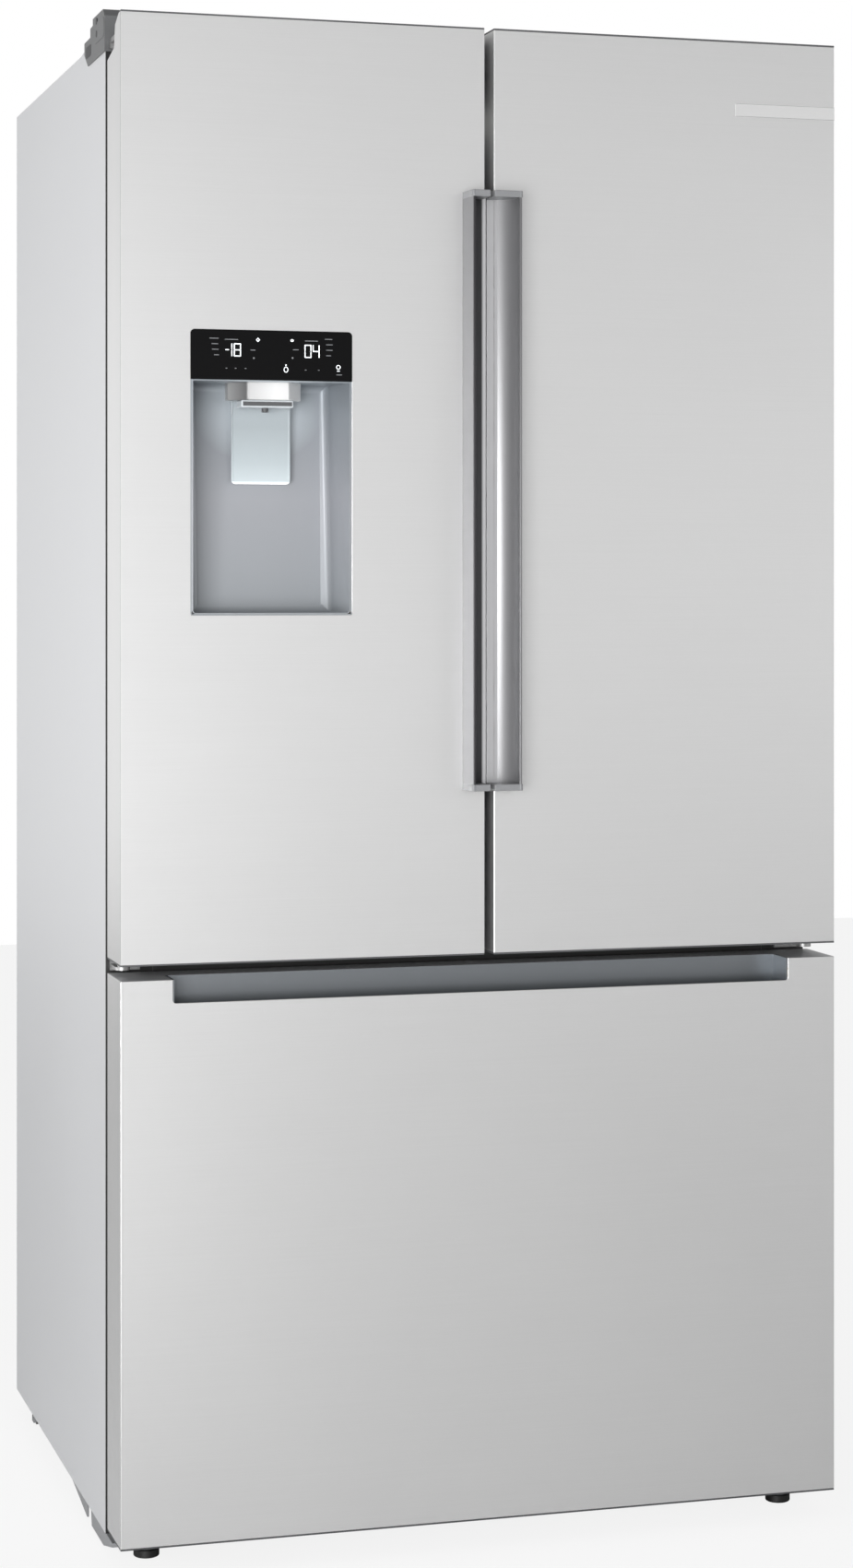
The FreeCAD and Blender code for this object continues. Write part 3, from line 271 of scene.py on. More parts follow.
def zincSheet(name):
    # galvanised sheet with its broad crystal flakes
    material, tree, shader = newMaterial(name, shade(168), 0.42, 0.8)
    flakes = addNode(tree, "ShaderNodeTexVoronoi", {}, {"Vector": coordinates(tree), "Scale": 55}, output=1)
    level = addNode(tree, "ShaderNodeRGBToBW", {}, [flakes])
    feed(tree, shader.inputs["Base Color"], mixColour(tree, level, shade(150), shade(182)))
    feed(tree, shader.inputs["Roughness"], 0.36 + level * 0.14)
    return material


# size and strength of the painted pool of light in the niche, below the panel
nichePaintedLight = {"drop": 34 * mm, "wide": 80 * mm, "tall": 62 * mm, "share": 0.75}


# (share of the width from the gap outwards, level) for each bar: painted shade and painted highlights across each
# handle
handlePaintedShades = {-1: [(0.0, 214), (0.12, 206), (0.2, 74), (0.86, 62), (0.9, 112), (1.0, 112)],
                1: [(0.0, 186), (0.25, 182), (0.85, 118), (0.93, 170), (1.0, 150)]}


def handleLook(name, side):
    # satin metal; painted shade and painted highlights run across the scoop from the gap to the lip
    low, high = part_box("right_handle")
    material, tree, shader = newMaterial(name, shade(176, 177, 179), 0.42, 0.55)
    x, y, z = position(tree)
    share = (x * side - low.x) / (high.x - low.x)
    stops = [(place, shade(level, level, level + 2)) for place, level in handlePaintedShades[side]]
    fine = noise(tree, coordinates(tree, (900, 900, 12)), 1.0, 2.0)
    # the ramp paints shade and highlights across the bar
    field = addNode(tree, "ShaderNodeValToRGB", {"stops": stops}, [share])
    feed(tree, shader.inputs["Base Color"], field)
    feed(tree, shader.inputs["Roughness"], 0.38 + fine * 0.08)
    feed(tree, shader.inputs["Normal"], bump(tree, fine, 0.03, 0.0002))
    return material


def spoutLook():
    # brushed metal, with painted shade on the facet that turns away on one side
    low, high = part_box("dispenser_spout")
    material, tree, shader = newMaterial("spoutBright", shade(228, 226, 224), 0.3, 0.3)
    x, y, z = position(tree)
    fine = noise(tree, coordinates(tree, (9, 9, 1800)), 1.0, 2.0)
    # the ramp across the spout paints the shade on the turned-away facet
    field = addNode(tree, "ShaderNodeValToRGB",
                    {"stops": [(0.0, shade(166)), (0.2, shade(112)), (0.25, shade(206)), (0.6, shade(232)),
                               (1.0, shade(222))]}, [(x - low.x) / (high.x - low.x)])
    feed(tree, shader.inputs["Base Color"], field)
    feed(tree, shader.inputs["Roughness"], 0.26 + fine * 0.08)
    feed(tree, shader.inputs["Normal"], bump(tree, fine, 0.03, 0.0002))
    return material


def nicheLook():
    # moulded satin grey, with a painted pool of light round the lamp above the plate, over a base that is lightest at
    # mid height
    low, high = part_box("dispenser_housing")
    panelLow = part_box("control_panel")[0].z
    material, tree, shader = newMaterial("nicheGrey", shade(146, 150, 155), 0.4, 0.3)
    x, y, z = position(tree)
    across = (x - (low.x + high.x) / 2) / nichePaintedLight["wide"]
    down = (z - (panelLow - nichePaintedLight["drop"])) / nichePaintedLight["tall"]
    away = (across * across + down * down).math("SQRT")
    # painted light round the lamp
    paintedLight = (1 - away).math("MAXIMUM", 0.0) * nichePaintedLight["share"]
    fine = noise(tree, coordinates(tree), 1200, 2.0)
    height = (z - low.z) / (panelLow - low.z)
    base = addNode(tree, "ShaderNodeValToRGB",
                   {"stops": [(0.0, shade(148, 152, 156)), (0.5, shade(158, 160, 165)),
                              (1.0, shade(138, 144, 150))]}, [height])
    feed(tree, shader.inputs["Base Color"], mixColour(tree, paintedLight, base, shade(226, 236, 242)))
    feed(tree, shader.inputs["Roughness"], 0.36 + fine * 0.08)
    feed(tree, shader.inputs["Normal"], bump(tree, fine, 0.05, 0.0002))
    return material


def plateLook():
    # frosted plate: a painted highlight along its lower edge, which also glows as painted light, over a pale blue
    # field
    low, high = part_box("dispenser_paddle")
    material, tree, shader = newMaterial("frostedPlate", shade(200, 208, 212), 0.3, Alpha=0.93)
    x, y, z = position(tree)
    height = (z - low.z) / (high.z - low.z)
    cloud = noise(tree, coordinates(tree), 30, 2.0)
    # painted highlight along the lower edge
    field = addNode(tree, "ShaderNodeValToRGB",
                    {"stops": [(0.0, shade(255)), (0.016, shade(240, 246, 250)), (0.024, shade(190, 200, 204)),
                               (0.22, shade(176, 186, 190)), (0.6, shade(162, 170, 174)),
                               (1.0, shade(172, 180, 185))]}, [height])
    feed(tree, shader.inputs["Base Color"], field)
    feed(tree, shader.inputs["Roughness"], 0.24 + cloud * 0.12)
    # the plate is no lamp: this emission is painted light, strongest at the lower edge
    feed(tree, shader.inputs["Emission Color"],
         addNode(tree, "ShaderNodeValToRGB",
                 {"stops": [(0.0, grey(0.5)), (0.016, grey(0.4)), (0.03, grey(0.06)), (0.3, grey(0.03)),
                            (1.0, grey(0.0))]}, [height]))
    shader.inputs["Emission Strength"].default_value = 1.0
    return material


def glowing(name, colour, strength):
    material, tree, shader = newMaterial(name, colour, 0.4)
    shader.inputs["Emission Color"].default_value = (*colour, 1)
    shader.inputs["Emission Strength"].default_value = strength
    return material


finish = {
    "steel": brushedSteel("brushedSteel", steelLook),
    "case": caseLook("casePaint"),
    "leftHandle": handleLook("leftHandleSatin", -1),
    "handle": handleLook("handleSatin", 1),
    "handleCap": moulded("handleCapGrey", shade(128, 129, 131), 0.42, 1400, 0.04),
    "grip": satinMetal("gripSatin", shade(128, 132, 136), 0.36),
    "strip": satinMetal("stripBright", shade(240), 0.16, 0.92),
    "spout": spoutLook(),
    "cap": moulded("capGrey", shade(78, 79, 81), 0.5),
    "drawerCap": banded("drawerCapGrey", shade(78, 79, 81), shade(200, 201, 203), 0.3, 0.42, 0.4),
    "hingeCover": moulded("hingeCoverGrey", shade(92, 93, 94), 0.48),
    "screw": satinMetal("screwDark", shade(60, 61, 63), 0.4),
    "dark": moulded("darkPlastic", shade(38, 39, 41), 0.5),
    "black": moulded("blackPlastic", shade(18), 0.4),
    "white": moulded("linerWhite", shade(228, 230, 232), 0.28, 1100, 0.05),
    "shelfTrim": moulded("shelfTrimWhite", shade(222, 224, 227), 0.3, 1100, 0.05),
    "rim": satinMetal("rimSatin", shade(206, 208, 210), 0.26),
    "clear": clearPlastic("clearPlastic", shade(222, 232, 238), 0.34),
    "glassShelf": clearPlastic("shelfGlass", shade(205, 226, 222), 0.3, 0.03),
    "collar": clearPlastic("collarClear", shade(226, 232, 236), 0.7, 0.15),
    "foam": foamLook("foam"),
    "gasket": rubberLook("gasketGrey", shade(44, 45, 47)),
    "foot": banded("footRubber", shade(14), shade(120, 121, 123), 9.5 * mm, 0.5),
    "skirt": moulded("skirtGrey", shade(132, 133, 135), 0.45, 1200, 0.05),
    "zinc": zincSheet("zincSheet"),
    "compressor": moulded("blackEnamel", shade(22, 22, 24), 0.25, 500, 0.1),
    "bareMetal": satinMetal("bareAluminium", shade(190), 0.4),
    "niche": nicheLook(),
    "panel": moulded("panelGlass", shade(6, 6, 7), 0.3, 400, 0.0, Specular_IOR_Level=0.12),
    "plate": plateLook(),
    "lamp": glowing("lampCover", shade(250, 250, 246), 1.2),
    "digits": glowing("displayDigits", shade(236, 240, 244), 1.0),
    "icons": glowing("displayIcons", shade(120, 122, 125), 0.5),
}
print("materials made:", len(finish))

looks = {
    "steel": ["left_door_skin", "right_door_skin", "drawer_skin"],
    "case": ["cabinet_shell"],
    "leftHandle": ["left_handle"],
    "handle": ["right_handle"],
    "grip": ["drawer_grip"],
    "strip": ["trim_strip"],
    "spout": ["dispenser_spout"],
    "cap": ["left_door_caps", "right_door_caps"],
    "drawerCap": ["drawer_caps"],
    "hingeCover": ["hinge_covers"],
    "dark": ["mullion_bar", "mains_inlet", "water_valve"],
    "black": ["front_rollers", "rear_rollers", "condenser_fan", "evaporator_fan"],
    "white": ["fridge_liner", "freezer_liner", "left_door_liner", "right_door_liner", "drawer_liner",
              "evaporator_cover", "air_duct", "ice_bin"],
    "shelfTrim": ["shelf_frames", "freezer_basket"],
    "clear": ["left_door_bins", "right_door_bins", "crisper_left", "crisper_right", "freezer_tray"],
    "glassShelf": ["glass_shelves"],
    "foam": ["insulation", "left_door_foam", "right_door_foam", "drawer_foam"],
    "gasket": ["left_door_gasket", "right_door_gasket", "drawer_gasket"],
    "foot": ["levelling_feet"],
    "skirt": ["base_pan"],
    "screw": ["hinge_screws"],
    "zinc": ["rear_covers", "door_hinges", "fixed_rails", "middle_rails",
             "inner_rails", "shelf_tracks"],
    "compressor": ["compressor", "fan_motors"],
    "bareMetal": ["condenser_coil"],
    "panel": ["control_panel"],
    "lamp": ["ceiling_lamp"],
}
for look, names in looks.items():
    for name in names:
        for slot in nodes[name].material_slots:
            slot.material = finish[look]
print("materials given to", sum(len(names) for names in looks.values()), "nodes")


# Rounded edges on the CAD nodes that show
softEdges = {
    0.0012: ["left_door_skin", "right_door_skin", "drawer_skin", "cabinet_shell", "dispenser_spout"],
    0.0008: ["left_handle", "right_handle", "hinge_covers", "trim_strip", "drawer_caps", "left_door_caps",
             "right_door_caps", "ceiling_lamp", "mullion_bar"],
    0.001: ["left_door_bins", "right_door_bins", "crisper_left", "crisper_right", "freezer_tray", "ice_bin",
            "left_door_liner", "right_door_liner", "shelf_frames"],
}


def roundEdges(obj, width, segments=2):
    weld = obj.modifiers.new("weld", "WELD")
    weld.merge_threshold = 0.00001
    flat = obj.modifiers.new("flatFaces", "DECIMATE")
    flat.decimate_type = "DISSOLVE"
    flat.angle_limit = math.radians(0.5)
    bevel = obj.modifiers.new("roundEdges", "BEVEL")
    bevel.width = width
    bevel.segments = segments
    bevel.limit_method = "ANGLE"
    bevel.angle_limit = math.radians(40)
    bevel.harden_normals = False


for width, names in softEdges.items():
    for name in names:
        roundEdges(nodes[name], width)
print("edges rounded")


# Pieces
def addPiece(name, bm, body, look, others=()):
    bmesh.ops.recalc_face_normals(bm, faces=bm.faces)
    mesh = bpy.data.meshes.new(name)
    bm.to_mesh(mesh)
    bm.free()
    piece = bpy.data.objects.new(name, mesh)
    bpy.context.scene.collection.objects.link(piece)
    for finishName in (look, *others):
        mesh.materials.append(finish[finishName])
    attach(piece, body)
    return piece


def addBlock(bm, low, high, edge=0.0, segments=2):
    low, high = Vector(low), Vector(high)
    made = bmesh.ops.create_cube(bm, size=1)["verts"]
    bmesh.ops.scale(bm, vec=high - low, verts=made)
    bmesh.ops.translate(bm, vec=(low + high) / 2, verts=made)
    if edge:
        edges = [item for item in bm.edges if item.verts[0] in made]
        bmesh.ops.bevel(bm, geom=edges, offset=edge, segments=segments, profile=0.5,
                        affect="EDGES", material=-1)


def addRod(bm, start, end, radius, endRadius=None, sides=16):
    start, end = Vector(start), Vector(end)
    along = end - start
    place = Matrix.Translation((start + end) / 2) @ along.to_track_quat("Z", "Y").to_matrix().to_4x4()
    return bmesh.ops.create_cone(bm, cap_ends=True, segments=sides, radius1=radius,
                                 radius2=radius if endRadius is None else endRadius,
                                 depth=along.length, matrix=place)["verts"]


def extruded(bm, faces, vector):
    made = bmesh.ops.extrude_face_region(bm, geom=faces)["geom"]
    verts = [item for item in made if isinstance(item, bmesh.types.BMVert)]
    bmesh.ops.translate(bm, vec=vector, verts=verts)
    return [item for item in made if isinstance(item, bmesh.types.BMFace)]


def addFace(bm, wide, tall, radius, lowOnly=False, segments=5):
    # an upright sheet facing the front, centred on the origin, with rounded corners
    before = set(bm.faces)
    made = bmesh.ops.create_grid(bm, x_segments=1, y_segments=1, size=0.5)["verts"]
    bmesh.ops.rotate(bm, matrix=Matrix.Rotation(math.radians(90), 3, "X"), verts=made)
    bmesh.ops.scale(bm, vec=(wide, 1, tall), verts=made)
    corners = [vert for vert in made if vert.co.z < 0 or not lowOnly]
    if radius:
        bmesh.ops.bevel(bm, geom=corners, offset=radius, segments=segments, profile=0.5,
                        affect="VERTICES", material=-1)
    return [face for face in bm.faces if face not in before][0]


def addSlab(bm, low, high, radius, lowOnly=False, turn=0.0):
    # a plate with rounded corners; turned about the vertical before it is put in place
    before = set(bm.verts)
    wide, deep, tall = Vector(high) - Vector(low)
    if turn:
        wide, deep = deep, wide
    face = addFace(bm, wide, tall, radius, lowOnly)
    extruded(bm, [face], (0, deep, 0))
    made = [vert for vert in bm.verts if vert not in before]
    bmesh.ops.translate(bm, vec=(0, -deep / 2, 0), verts=made)
    bmesh.ops.rotate(bm, matrix=Matrix.Rotation(math.radians(turn), 3, "Z"), verts=made)
    bmesh.ops.translate(bm, vec=(Vector(low) + Vector(high)) / 2, verts=made)
    return made


def addRing(bm, centre, radius, stroke, deep, stretch=(1, 1), sides=20):
    # a flat ring facing the front
    before = set(bm.verts)
    bmesh.ops.create_circle(bm, cap_ends=True, segments=sides, radius=radius)
    made = [vert for vert in bm.verts if vert not in before]
    face = made[0].link_faces[0]
    bmesh.ops.rotate(bm, matrix=Matrix.Rotation(math.radians(90), 3, "X"), verts=made)
    ring = bmesh.ops.inset_region(bm, faces=[face], thickness=stroke, use_boundary=True,
                                   use_even_offset=True)["faces"]
    bmesh.ops.delete(bm, geom=[face], context="FACES")
    extruded(bm, ring, (0, deep, 0))
    made = [vert for vert in bm.verts if vert not in before]
    bmesh.ops.scale(bm, vec=(stretch[0], 1, stretch[1]), verts=made)
    bmesh.ops.translate(bm, vec=centre, verts=made)
    return made


handleCap = {"tall": 8 * mm, "proud": 0.35 * mm, "leftEnd": 8.7 * mm, "cover": 3.6 * mm, "sheet": 1.4 * mm}


def makeHandleCaps(side):
    # each end of the bar, cut from a copy of it and swollen a little
    source = nodes[side + "_handle"].data
    low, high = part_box(side + "_handle")
    whole = bmesh.new()
    for top in (False, True):
        bm = bmesh.new()
        bm.from_mesh(source)
        bmesh.ops.remove_doubles(bm, verts=bm.verts, dist=1e-5)
        level = high.z - handleCap["tall"] if top else low.z + handleCap["tall"]
        bmesh.ops.bisect_plane(bm, geom=bm.verts[:] + bm.edges[:] + bm.faces[:], dist=1e-6,
                               plane_co=(0, 0, level), plane_no=(0, 0, 1),
                               clear_inner=top, clear_outer=not top)
        bmesh.ops.holes_fill(bm, edges=[edge for edge in bm.edges if edge.is_boundary])
        middle = Vector(((low.x + high.x) / 2, low.y + 10 * mm, level))
        grow = 1 + 2 * handleCap["proud"] / (high.x - low.x)
        front = [vert for vert in bm.verts if vert.co.y < doorFront - 1 * mm]
        bmesh.ops.scale(bm, vec=(grow, grow, 1), verts=front, space=Matrix.Translation(-middle))
        part = bpy.data.meshes.new("part")
        bm.to_mesh(part)
        bm.free()
        whole.from_mesh(part)
        bpy.data.meshes.remove(part)
    inner, outer = (low.x + 1.8 * mm, -handleCap["leftEnd"])
    if side == "right":
        inner, outer = (-handleCap["cover"], high.x - 1.8 * mm)
    for top in (high.z - handleCap["tall"], low.z):
        addBlock(whole, (inner, low.y + 0.4 * mm, top), (outer, doorFront - 0.2 * mm, top + handleCap["tall"]),
                 0.8 * mm)
    piece = addPiece(side + "HandleCaps", whole, side + "_door", "handleCap")
    roundEdges(piece, 0.7 * mm)


# offsets from the panel's left edge and top edge
def makeGapCover():
    # the right bar's foot reaches over the centre gap
    low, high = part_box("right_handle")
    bm = bmesh.new()
    addBlock(bm, (-handleCap["cover"], doorFront - handleCap["sheet"], low.z + handleCap["tall"]),
             (low.x + 2 * mm, doorFront - 0.1 * mm, high.z - handleCap["tall"]), 0.3 * mm)
    # it takes the right handle's material, with its painted shade and highlights
    addPiece("gapCover", bm, "right_door", "handle")


display = {
    "tall": 15.5 * mm, "wide": 8.4 * mm, "stroke": 1.1 * mm, "top": 16 * mm, "proud": 0.15 * mm,
    "segments": {"0": "abcdef", "1": "bc", "4": "bcfg", "8": "abcdefg", "-": "g"},
    "digits": [("-", 38.4), ("1", 41.6), ("8", 52.0), ("0", 137.6), ("4", 147.5)],
    "dashes": [(28, 10.5, 11), (29, 17, 8), (29.5, 23.5, 8), (31, 30, 6), (49, 11.5, 16), (75, 23.6, 6),
               (127, 22.2, 7), (146, 11.5, 16), (167, 9, 9), (168, 15.5, 8), (168, 22, 8), (167, 28.5, 6),
               (43, 45.5, 2), (54, 45.5, 2), (66, 45.5, 2), (139, 46, 2), (155, 46, 2), (180, 51, 7)],
    "dots": [(76, 33), (123, 32)], "dashThick": 0.7 * mm,
}


def makeDisplay():
    low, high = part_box("control_panel")
    near = (low.y - display["proud"], low.y)
    wide, tall, stroke = display["wide"], display["tall"], display["stroke"]
    top = high.z - display["top"]
    bars = {
        "a": (0, wide, 0, -stroke), "d": (0, wide, stroke - tall, -tall),
        "g": (0, wide, (stroke - tall) / 2, -(stroke + tall) / 2),
        "f": (0, stroke, 0, -tall / 2), "b": (wide - stroke, wide, 0, -tall / 2),
        "e": (0, stroke, -tall / 2, -tall), "c": (wide - stroke, wide, -tall / 2, -tall),
    }
    bm = bmesh.new()
    for glyph, place in display["digits"]:
        left = low.x + place * mm
        for name in display["segments"][glyph]:
            x0, x1, z1, z0 = bars[name]
            shrink = (0.3 * mm, 0.0) if name in "adg" else (0.0, 0.3 * mm)
            if glyph == "-":
                x0, x1 = 0.35 * wide, 0.95 * wide
            addSlab(bm, (left + x0 + shrink[0], near[0], top + z0 + shrink[1]),
                    (left + x1 - shrink[0], near[1], top + z1 - shrink[1]), 0.35 * mm)
    addPiece("displayDigits", bm, "left_door", "digits")
    bm = bmesh.new()
    for middle, down, long in display["dashes"]:
        x, z = low.x + middle * mm, high.z - down * mm
        addSlab(bm, (x - long * mm / 2, near[0], z - display["dashThick"] / 2),
                (x + long * mm / 2, near[1], z + display["dashThick"] / 2), 0.3 * mm)
    for middle, down in display["dots"]:
        addRing(bm, (low.x + middle * mm, near[0], high.z - down * mm), 1.0 * mm, 0.7 * mm, display["proud"])
    addPiece("displayMarks", bm, "left_door", "icons")
    bm = bmesh.new()
    deep = display["proud"]
    for x, z, radius, stretch, sides in ((81, 11.4, 2.4, (1, 1.1), 4), (122.4, 11.4, 1.9, (1.1, 0.8), 6),
                                         (115, 46, 3.1, (0.9, 1.1), 18), (179, 42, 2.7, (1, 1), 18)):
        addRing(bm, (low.x + x * mm, near[0], high.z - z * mm), radius * mm, 0.8 * mm, deep,
                stretch, sides)
    x, z = low.x + 115 * mm, high.z - 42 * mm
    addSlab(bm, (x - 0.6 * mm, near[0], z), (x + 0.6 * mm, near[1], z + 2.4 * mm), 0.5 * mm)
    x, z = low.x + 179 * mm, high.z - 47 * mm
    addSlab(bm, (x - 1.6 * mm, near[0], z), (x + 1.6 * mm, near[1], z + 1.0 * mm), 0.3 * mm)
    addPiece("displaySigns", bm, "left_door", "digits")


niche = {"lip": 1.8 * mm, "corner": 5 * mm, "bottomDeep": 60 * mm, "topDeep": 78 * mm,
         "taper": 10 * mm, "round": 10 * mm, "wall": 1.2 * mm, "lug": 4 * mm, "rim": 1.1 * mm}


def makeNiche():
    # a moulded pocket: rounded at the mouth, drawn in and sloped at the back
    low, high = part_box("dispenser_housing")
    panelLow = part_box("control_panel")[0].z
    left, right = low.x + niche["lip"], high.x - niche["lip"]
    floor = low.z + niche["lip"]
    bm = bmesh.new()
    mouth = addFace(bm, right - left, panelLow - floor, niche["corner"], lowOnly=True, segments=6)
    bmesh.ops.translate(bm, vec=((left + right) / 2, low.y, (floor + panelLow) / 2), verts=mouth.verts[:])
    frontVerts = mouth.verts[:]
    back = extruded(bm, [mouth], (0, 0, 0))[0]
    for vert in back.verts:
        share = (vert.co.z - floor) / (panelLow - floor)
        vert.co.y += niche["bottomDeep"] + share * (niche["topDeep"] - niche["bottomDeep"])
        vert.co.x = low.x / 2 + high.x / 2 + (vert.co.x - (low.x + high.x) / 2) * (
            1 - 2 * niche["taper"] / (right - left))
    bmesh.ops.bevel(bm, geom=back.edges[:], offset=niche["round"], segments=6, profile=0.5,
                    affect="EDGES", material=-1)
    front = [face for face in bm.faces if all(vert in frontVerts for vert in face.verts)]
    bmesh.ops.delete(bm, geom=front, context="FACES_ONLY")
    bmesh.ops.recalc_face_normals(bm, faces=bm.faces)
    bmesh.ops.reverse_faces(bm, faces=bm.faces)
    bmesh.ops.solidify(bm, geom=bm.faces[:], thickness=-niche["wall"])
    # flat lip from the pocket out to the door's mouth
    lipBm = bmesh.new()
    outer = addFace(lipBm, high.x - low.x, panelLow - low.z, niche["lip"], lowOnly=True, segments=6)
    bmesh.ops.translate(lipBm, vec=((low.x + high.x) / 2, low.y, (low.z + panelLow) / 2),
                        verts=outer.verts[:])
    ring = bmesh.ops.inset_region(lipBm, faces=[outer], thickness=niche["lip"] - 0.2 * mm,
                                   use_boundary=True, use_even_offset=True)["faces"]
    bmesh.ops.delete(lipBm, geom=[outer], context="FACES")
    extruded(lipBm, ring, (0, 1.2 * mm, 0))
    part = bpy.data.meshes.new("part")
    lipBm.to_mesh(part)
    lipBm.free()
    bm.from_mesh(part)
    bpy.data.meshes.remove(part)
    # ears for the plate's axle
    paddleLow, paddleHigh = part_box("dispenser_paddle")
    for x in (paddleLow.x, paddleHigh.x - niche["lug"]):
        addBlock(bm, (x, paddleLow.y - 1 * mm, paddleHigh.z - 8 * mm),
                 (x + niche["lug"], paddleLow.y + 7 * mm, panelLow), 0.5 * mm)
    piece = addPiece("nichePocket", bm, "left_door", "niche")
    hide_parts("dispenser_housing")


plate = {"corner": 5 * mm, "rim": 1.8 * mm, "sink": 0.8 * mm, "thick": 3 * mm, "ear": 4 * mm,
         "axle": 2.5 * mm}


def makePlate():
    # the push plate: a raised rim round a sunk frosted field, hung on its axle
    low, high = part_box("dispenser_paddle")
    wide = high.x - low.x - 2 * plate["ear"]
    axleZ = high.z - plate["axle"]
    bm = bmesh.new()
    face = addFace(bm, wide, axleZ - low.z, plate["corner"], lowOnly=True, segments=6)
    bmesh.ops.translate(bm, vec=((low.x + high.x) / 2, low.y + plate["thick"], (low.z + axleZ) / 2),
                        verts=face.verts[:])
    face = extruded(bm, [face], (0, -plate["thick"], 0))[0]
    bmesh.ops.inset_region(bm, faces=[face], thickness=plate["rim"])
    bmesh.ops.inset_region(bm, faces=[face], thickness=0.6 * mm, depth=0)
    bmesh.ops.translate(bm, vec=(0, plate["sink"], 0), verts=face.verts[:])
    addRod(bm, (low.x, low.y + plate["axle"], axleZ), (high.x, low.y + plate["axle"], axleZ), plate["axle"])
    piece = addPiece("pushPlate", bm, "paddle", "plate")
    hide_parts("dispenser_paddle")
    roundEdges(piece, 0.3 * mm)


def makeNozzle():
    low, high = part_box("water_nozzle")
    middle = (low + high) / 2
    bm = bmesh.new()
    addBlock(bm, (low.x, low.y, high.z - 9 * mm), (high.x, high.y, high.z), 2 * mm, 3)
    collarFaces = len(bm.faces)
    addRod(bm, (middle.x, middle.y, high.z - 9 * mm), (middle.x, middle.y, low.z), 4.2 * mm, 3.8 * mm, 28)
    addRod(bm, (middle.x, middle.y, low.z + 1.4 * mm), (middle.x, middle.y, low.z + 0.1 * mm), 4.5 * mm,
           4.5 * mm, 28)
    bm.faces.ensure_lookup_table()
    for face in bm.faces[collarFaces:]:
        face.material_index = 1
    piece = addPiece("spoutNozzle", bm, "left_door", "collar", ["cap"])
    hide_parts("water_nozzle")


# dark: where the painted recess shade sits, in mm
coverPad = {"front": 3 * mm, "rear": 66 * mm, "low": 15 * mm, "high": 3 * mm, "proud": 0.6 * mm,
            "corner": 7 * mm, "dark": (92, 128, 1807, 1821)}


def makeCoverPads():
    # the raised pad round the screws, and a dark sheet as painted shade in the finger recess behind it, on each side
    low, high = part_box("hinge_covers")
    front = low.y
    bm = bmesh.new()
    dark = bmesh.new()
    rear, fore, under, over = coverPad["dark"][1], coverPad["dark"][0], *coverPad["dark"][2:]
    for side in (-1, 1):
        face = side * (high.x + coverPad["proud"])
        span = sorted((side * (high.x - 0.2 * mm), face))
        addSlab(bm, (span[0], front + coverPad["front"], doorTop - coverPad["low"]),
                (span[1], front + coverPad["rear"], high.z - coverPad["high"] - 6 * mm),
                coverPad["corner"], turn=90)
        span = sorted((side * (high.x - 0.2 * mm), side * (high.x + 0.25 * mm)))
        # a thin dark sheet that paints the shade in the finger recess
        addSlab(dark, (span[0], front + fore * mm, under * mm), (span[1], front + rear * mm, over * mm),
                4 * mm, turn=90)
    roundEdges(addPiece("coverPads", bm, "cabinet", "hingeCover"), 0.3 * mm)
    addPiece("coverRecessShade", dark, "cabinet", "dark")


rim = {"thick": 5 * mm, "drop": 4 * mm, "edge": 1.2 * mm}


def addRim(bm, low, high, top):
    # a rounded rim that caps the four walls of an open box, just inside its outline
    thick = rim["thick"]
    for start, end in (((low.x, low.y), (high.x, low.y + thick)), ((low.x, high.y - thick), (high.x, high.y)),
                       ((low.x, low.y + thick), (low.x + thick, high.y - thick)),
                       ((high.x - thick, low.y + thick), (high.x, high.y - thick))):
        addBlock(bm, (*start, top - rim["drop"]), (*end, top), rim["edge"])


def islands(name):
    # the boxes of the separate solids in one node
    bm = bmesh.new()
    bm.from_mesh(nodes[name].data)
    bmesh.ops.remove_doubles(bm, verts=bm.verts, dist=1e-5)
    found, seen = [], set()
    for vert in bm.verts:
        if vert in seen:
            continue
        stack, points = [vert], []
        seen.add(vert)
        while stack:
            point = stack.pop()
            points.append(point.co.copy())
            for edge in point.link_edges:
                other = edge.other_vert(point)
                if other not in seen:
                    seen.add(other)
                    stack.append(other)
        found.append((Vector([min(p[i] for p in points) for i in range(3)]),
                      Vector([max(p[i] for p in points) for i in range(3)])))
    bm.free()
    return found


def makeRims():
    for name, body, look in (("left_door_bins", "left_door", "rim"), ("right_door_bins", "right_door", "rim"),
                             ("ice_bin", "left_door", "shelfTrim"), ("crisper_left", "left_crisper", "shelfTrim"),
                             ("crisper_right", "right_crisper", "shelfTrim"),
                             ("freezer_basket", "drawer", "shelfTrim"), ("freezer_tray", "tray", "shelfTrim")):
        bm = bmesh.new()
        for low, high in islands(name):
            addRim(bm, low, high, high.z)
        addPiece(name + "Rims", bm, body, look)


pull = {"wide": 120 * mm, "tall": 26 * mm, "drop": 14 * mm, "proud": 3 * mm}


def makePulls():
    # finger pulls on the crispers
    for side in ("left", "right"):
        low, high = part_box("crisper_" + side)
        middle = (low.x + high.x) / 2
        bm = bmesh.new()
        addSlab(bm, (middle - pull["wide"] / 2, low.y - pull["proud"], high.z - pull["drop"] - pull["tall"]),
                (middle + pull["wide"] / 2, low.y + 0.5 * mm, high.z - pull["drop"]), 8 * mm)
        roundEdges(addPiece(side + "CrisperPull", bm, side + "_crisper", "rim"), 1.2 * mm)


def makeShelfTrims():
    # a bright strip along the front edge of each shelf
    bm = bmesh.new()
    for low, high in islands("shelf_frames"):
        if high.x - low.x > 0.1:
            addBlock(bm, (low.x + 2 * mm, low.y - 1.2 * mm, low.z + 1.5 * mm),
                     (high.x - 2 * mm, low.y + 0.5 * mm, high.z - 1.5 * mm), 0.5 * mm)
    addPiece("shelfTrims", bm, "cabinet", "rim")


backScrew = {"radius": 4 * mm, "proud": 0.0, "sunk": 1.4 * mm, "edge": 14 * mm, "rows": 7, "columns": 4}


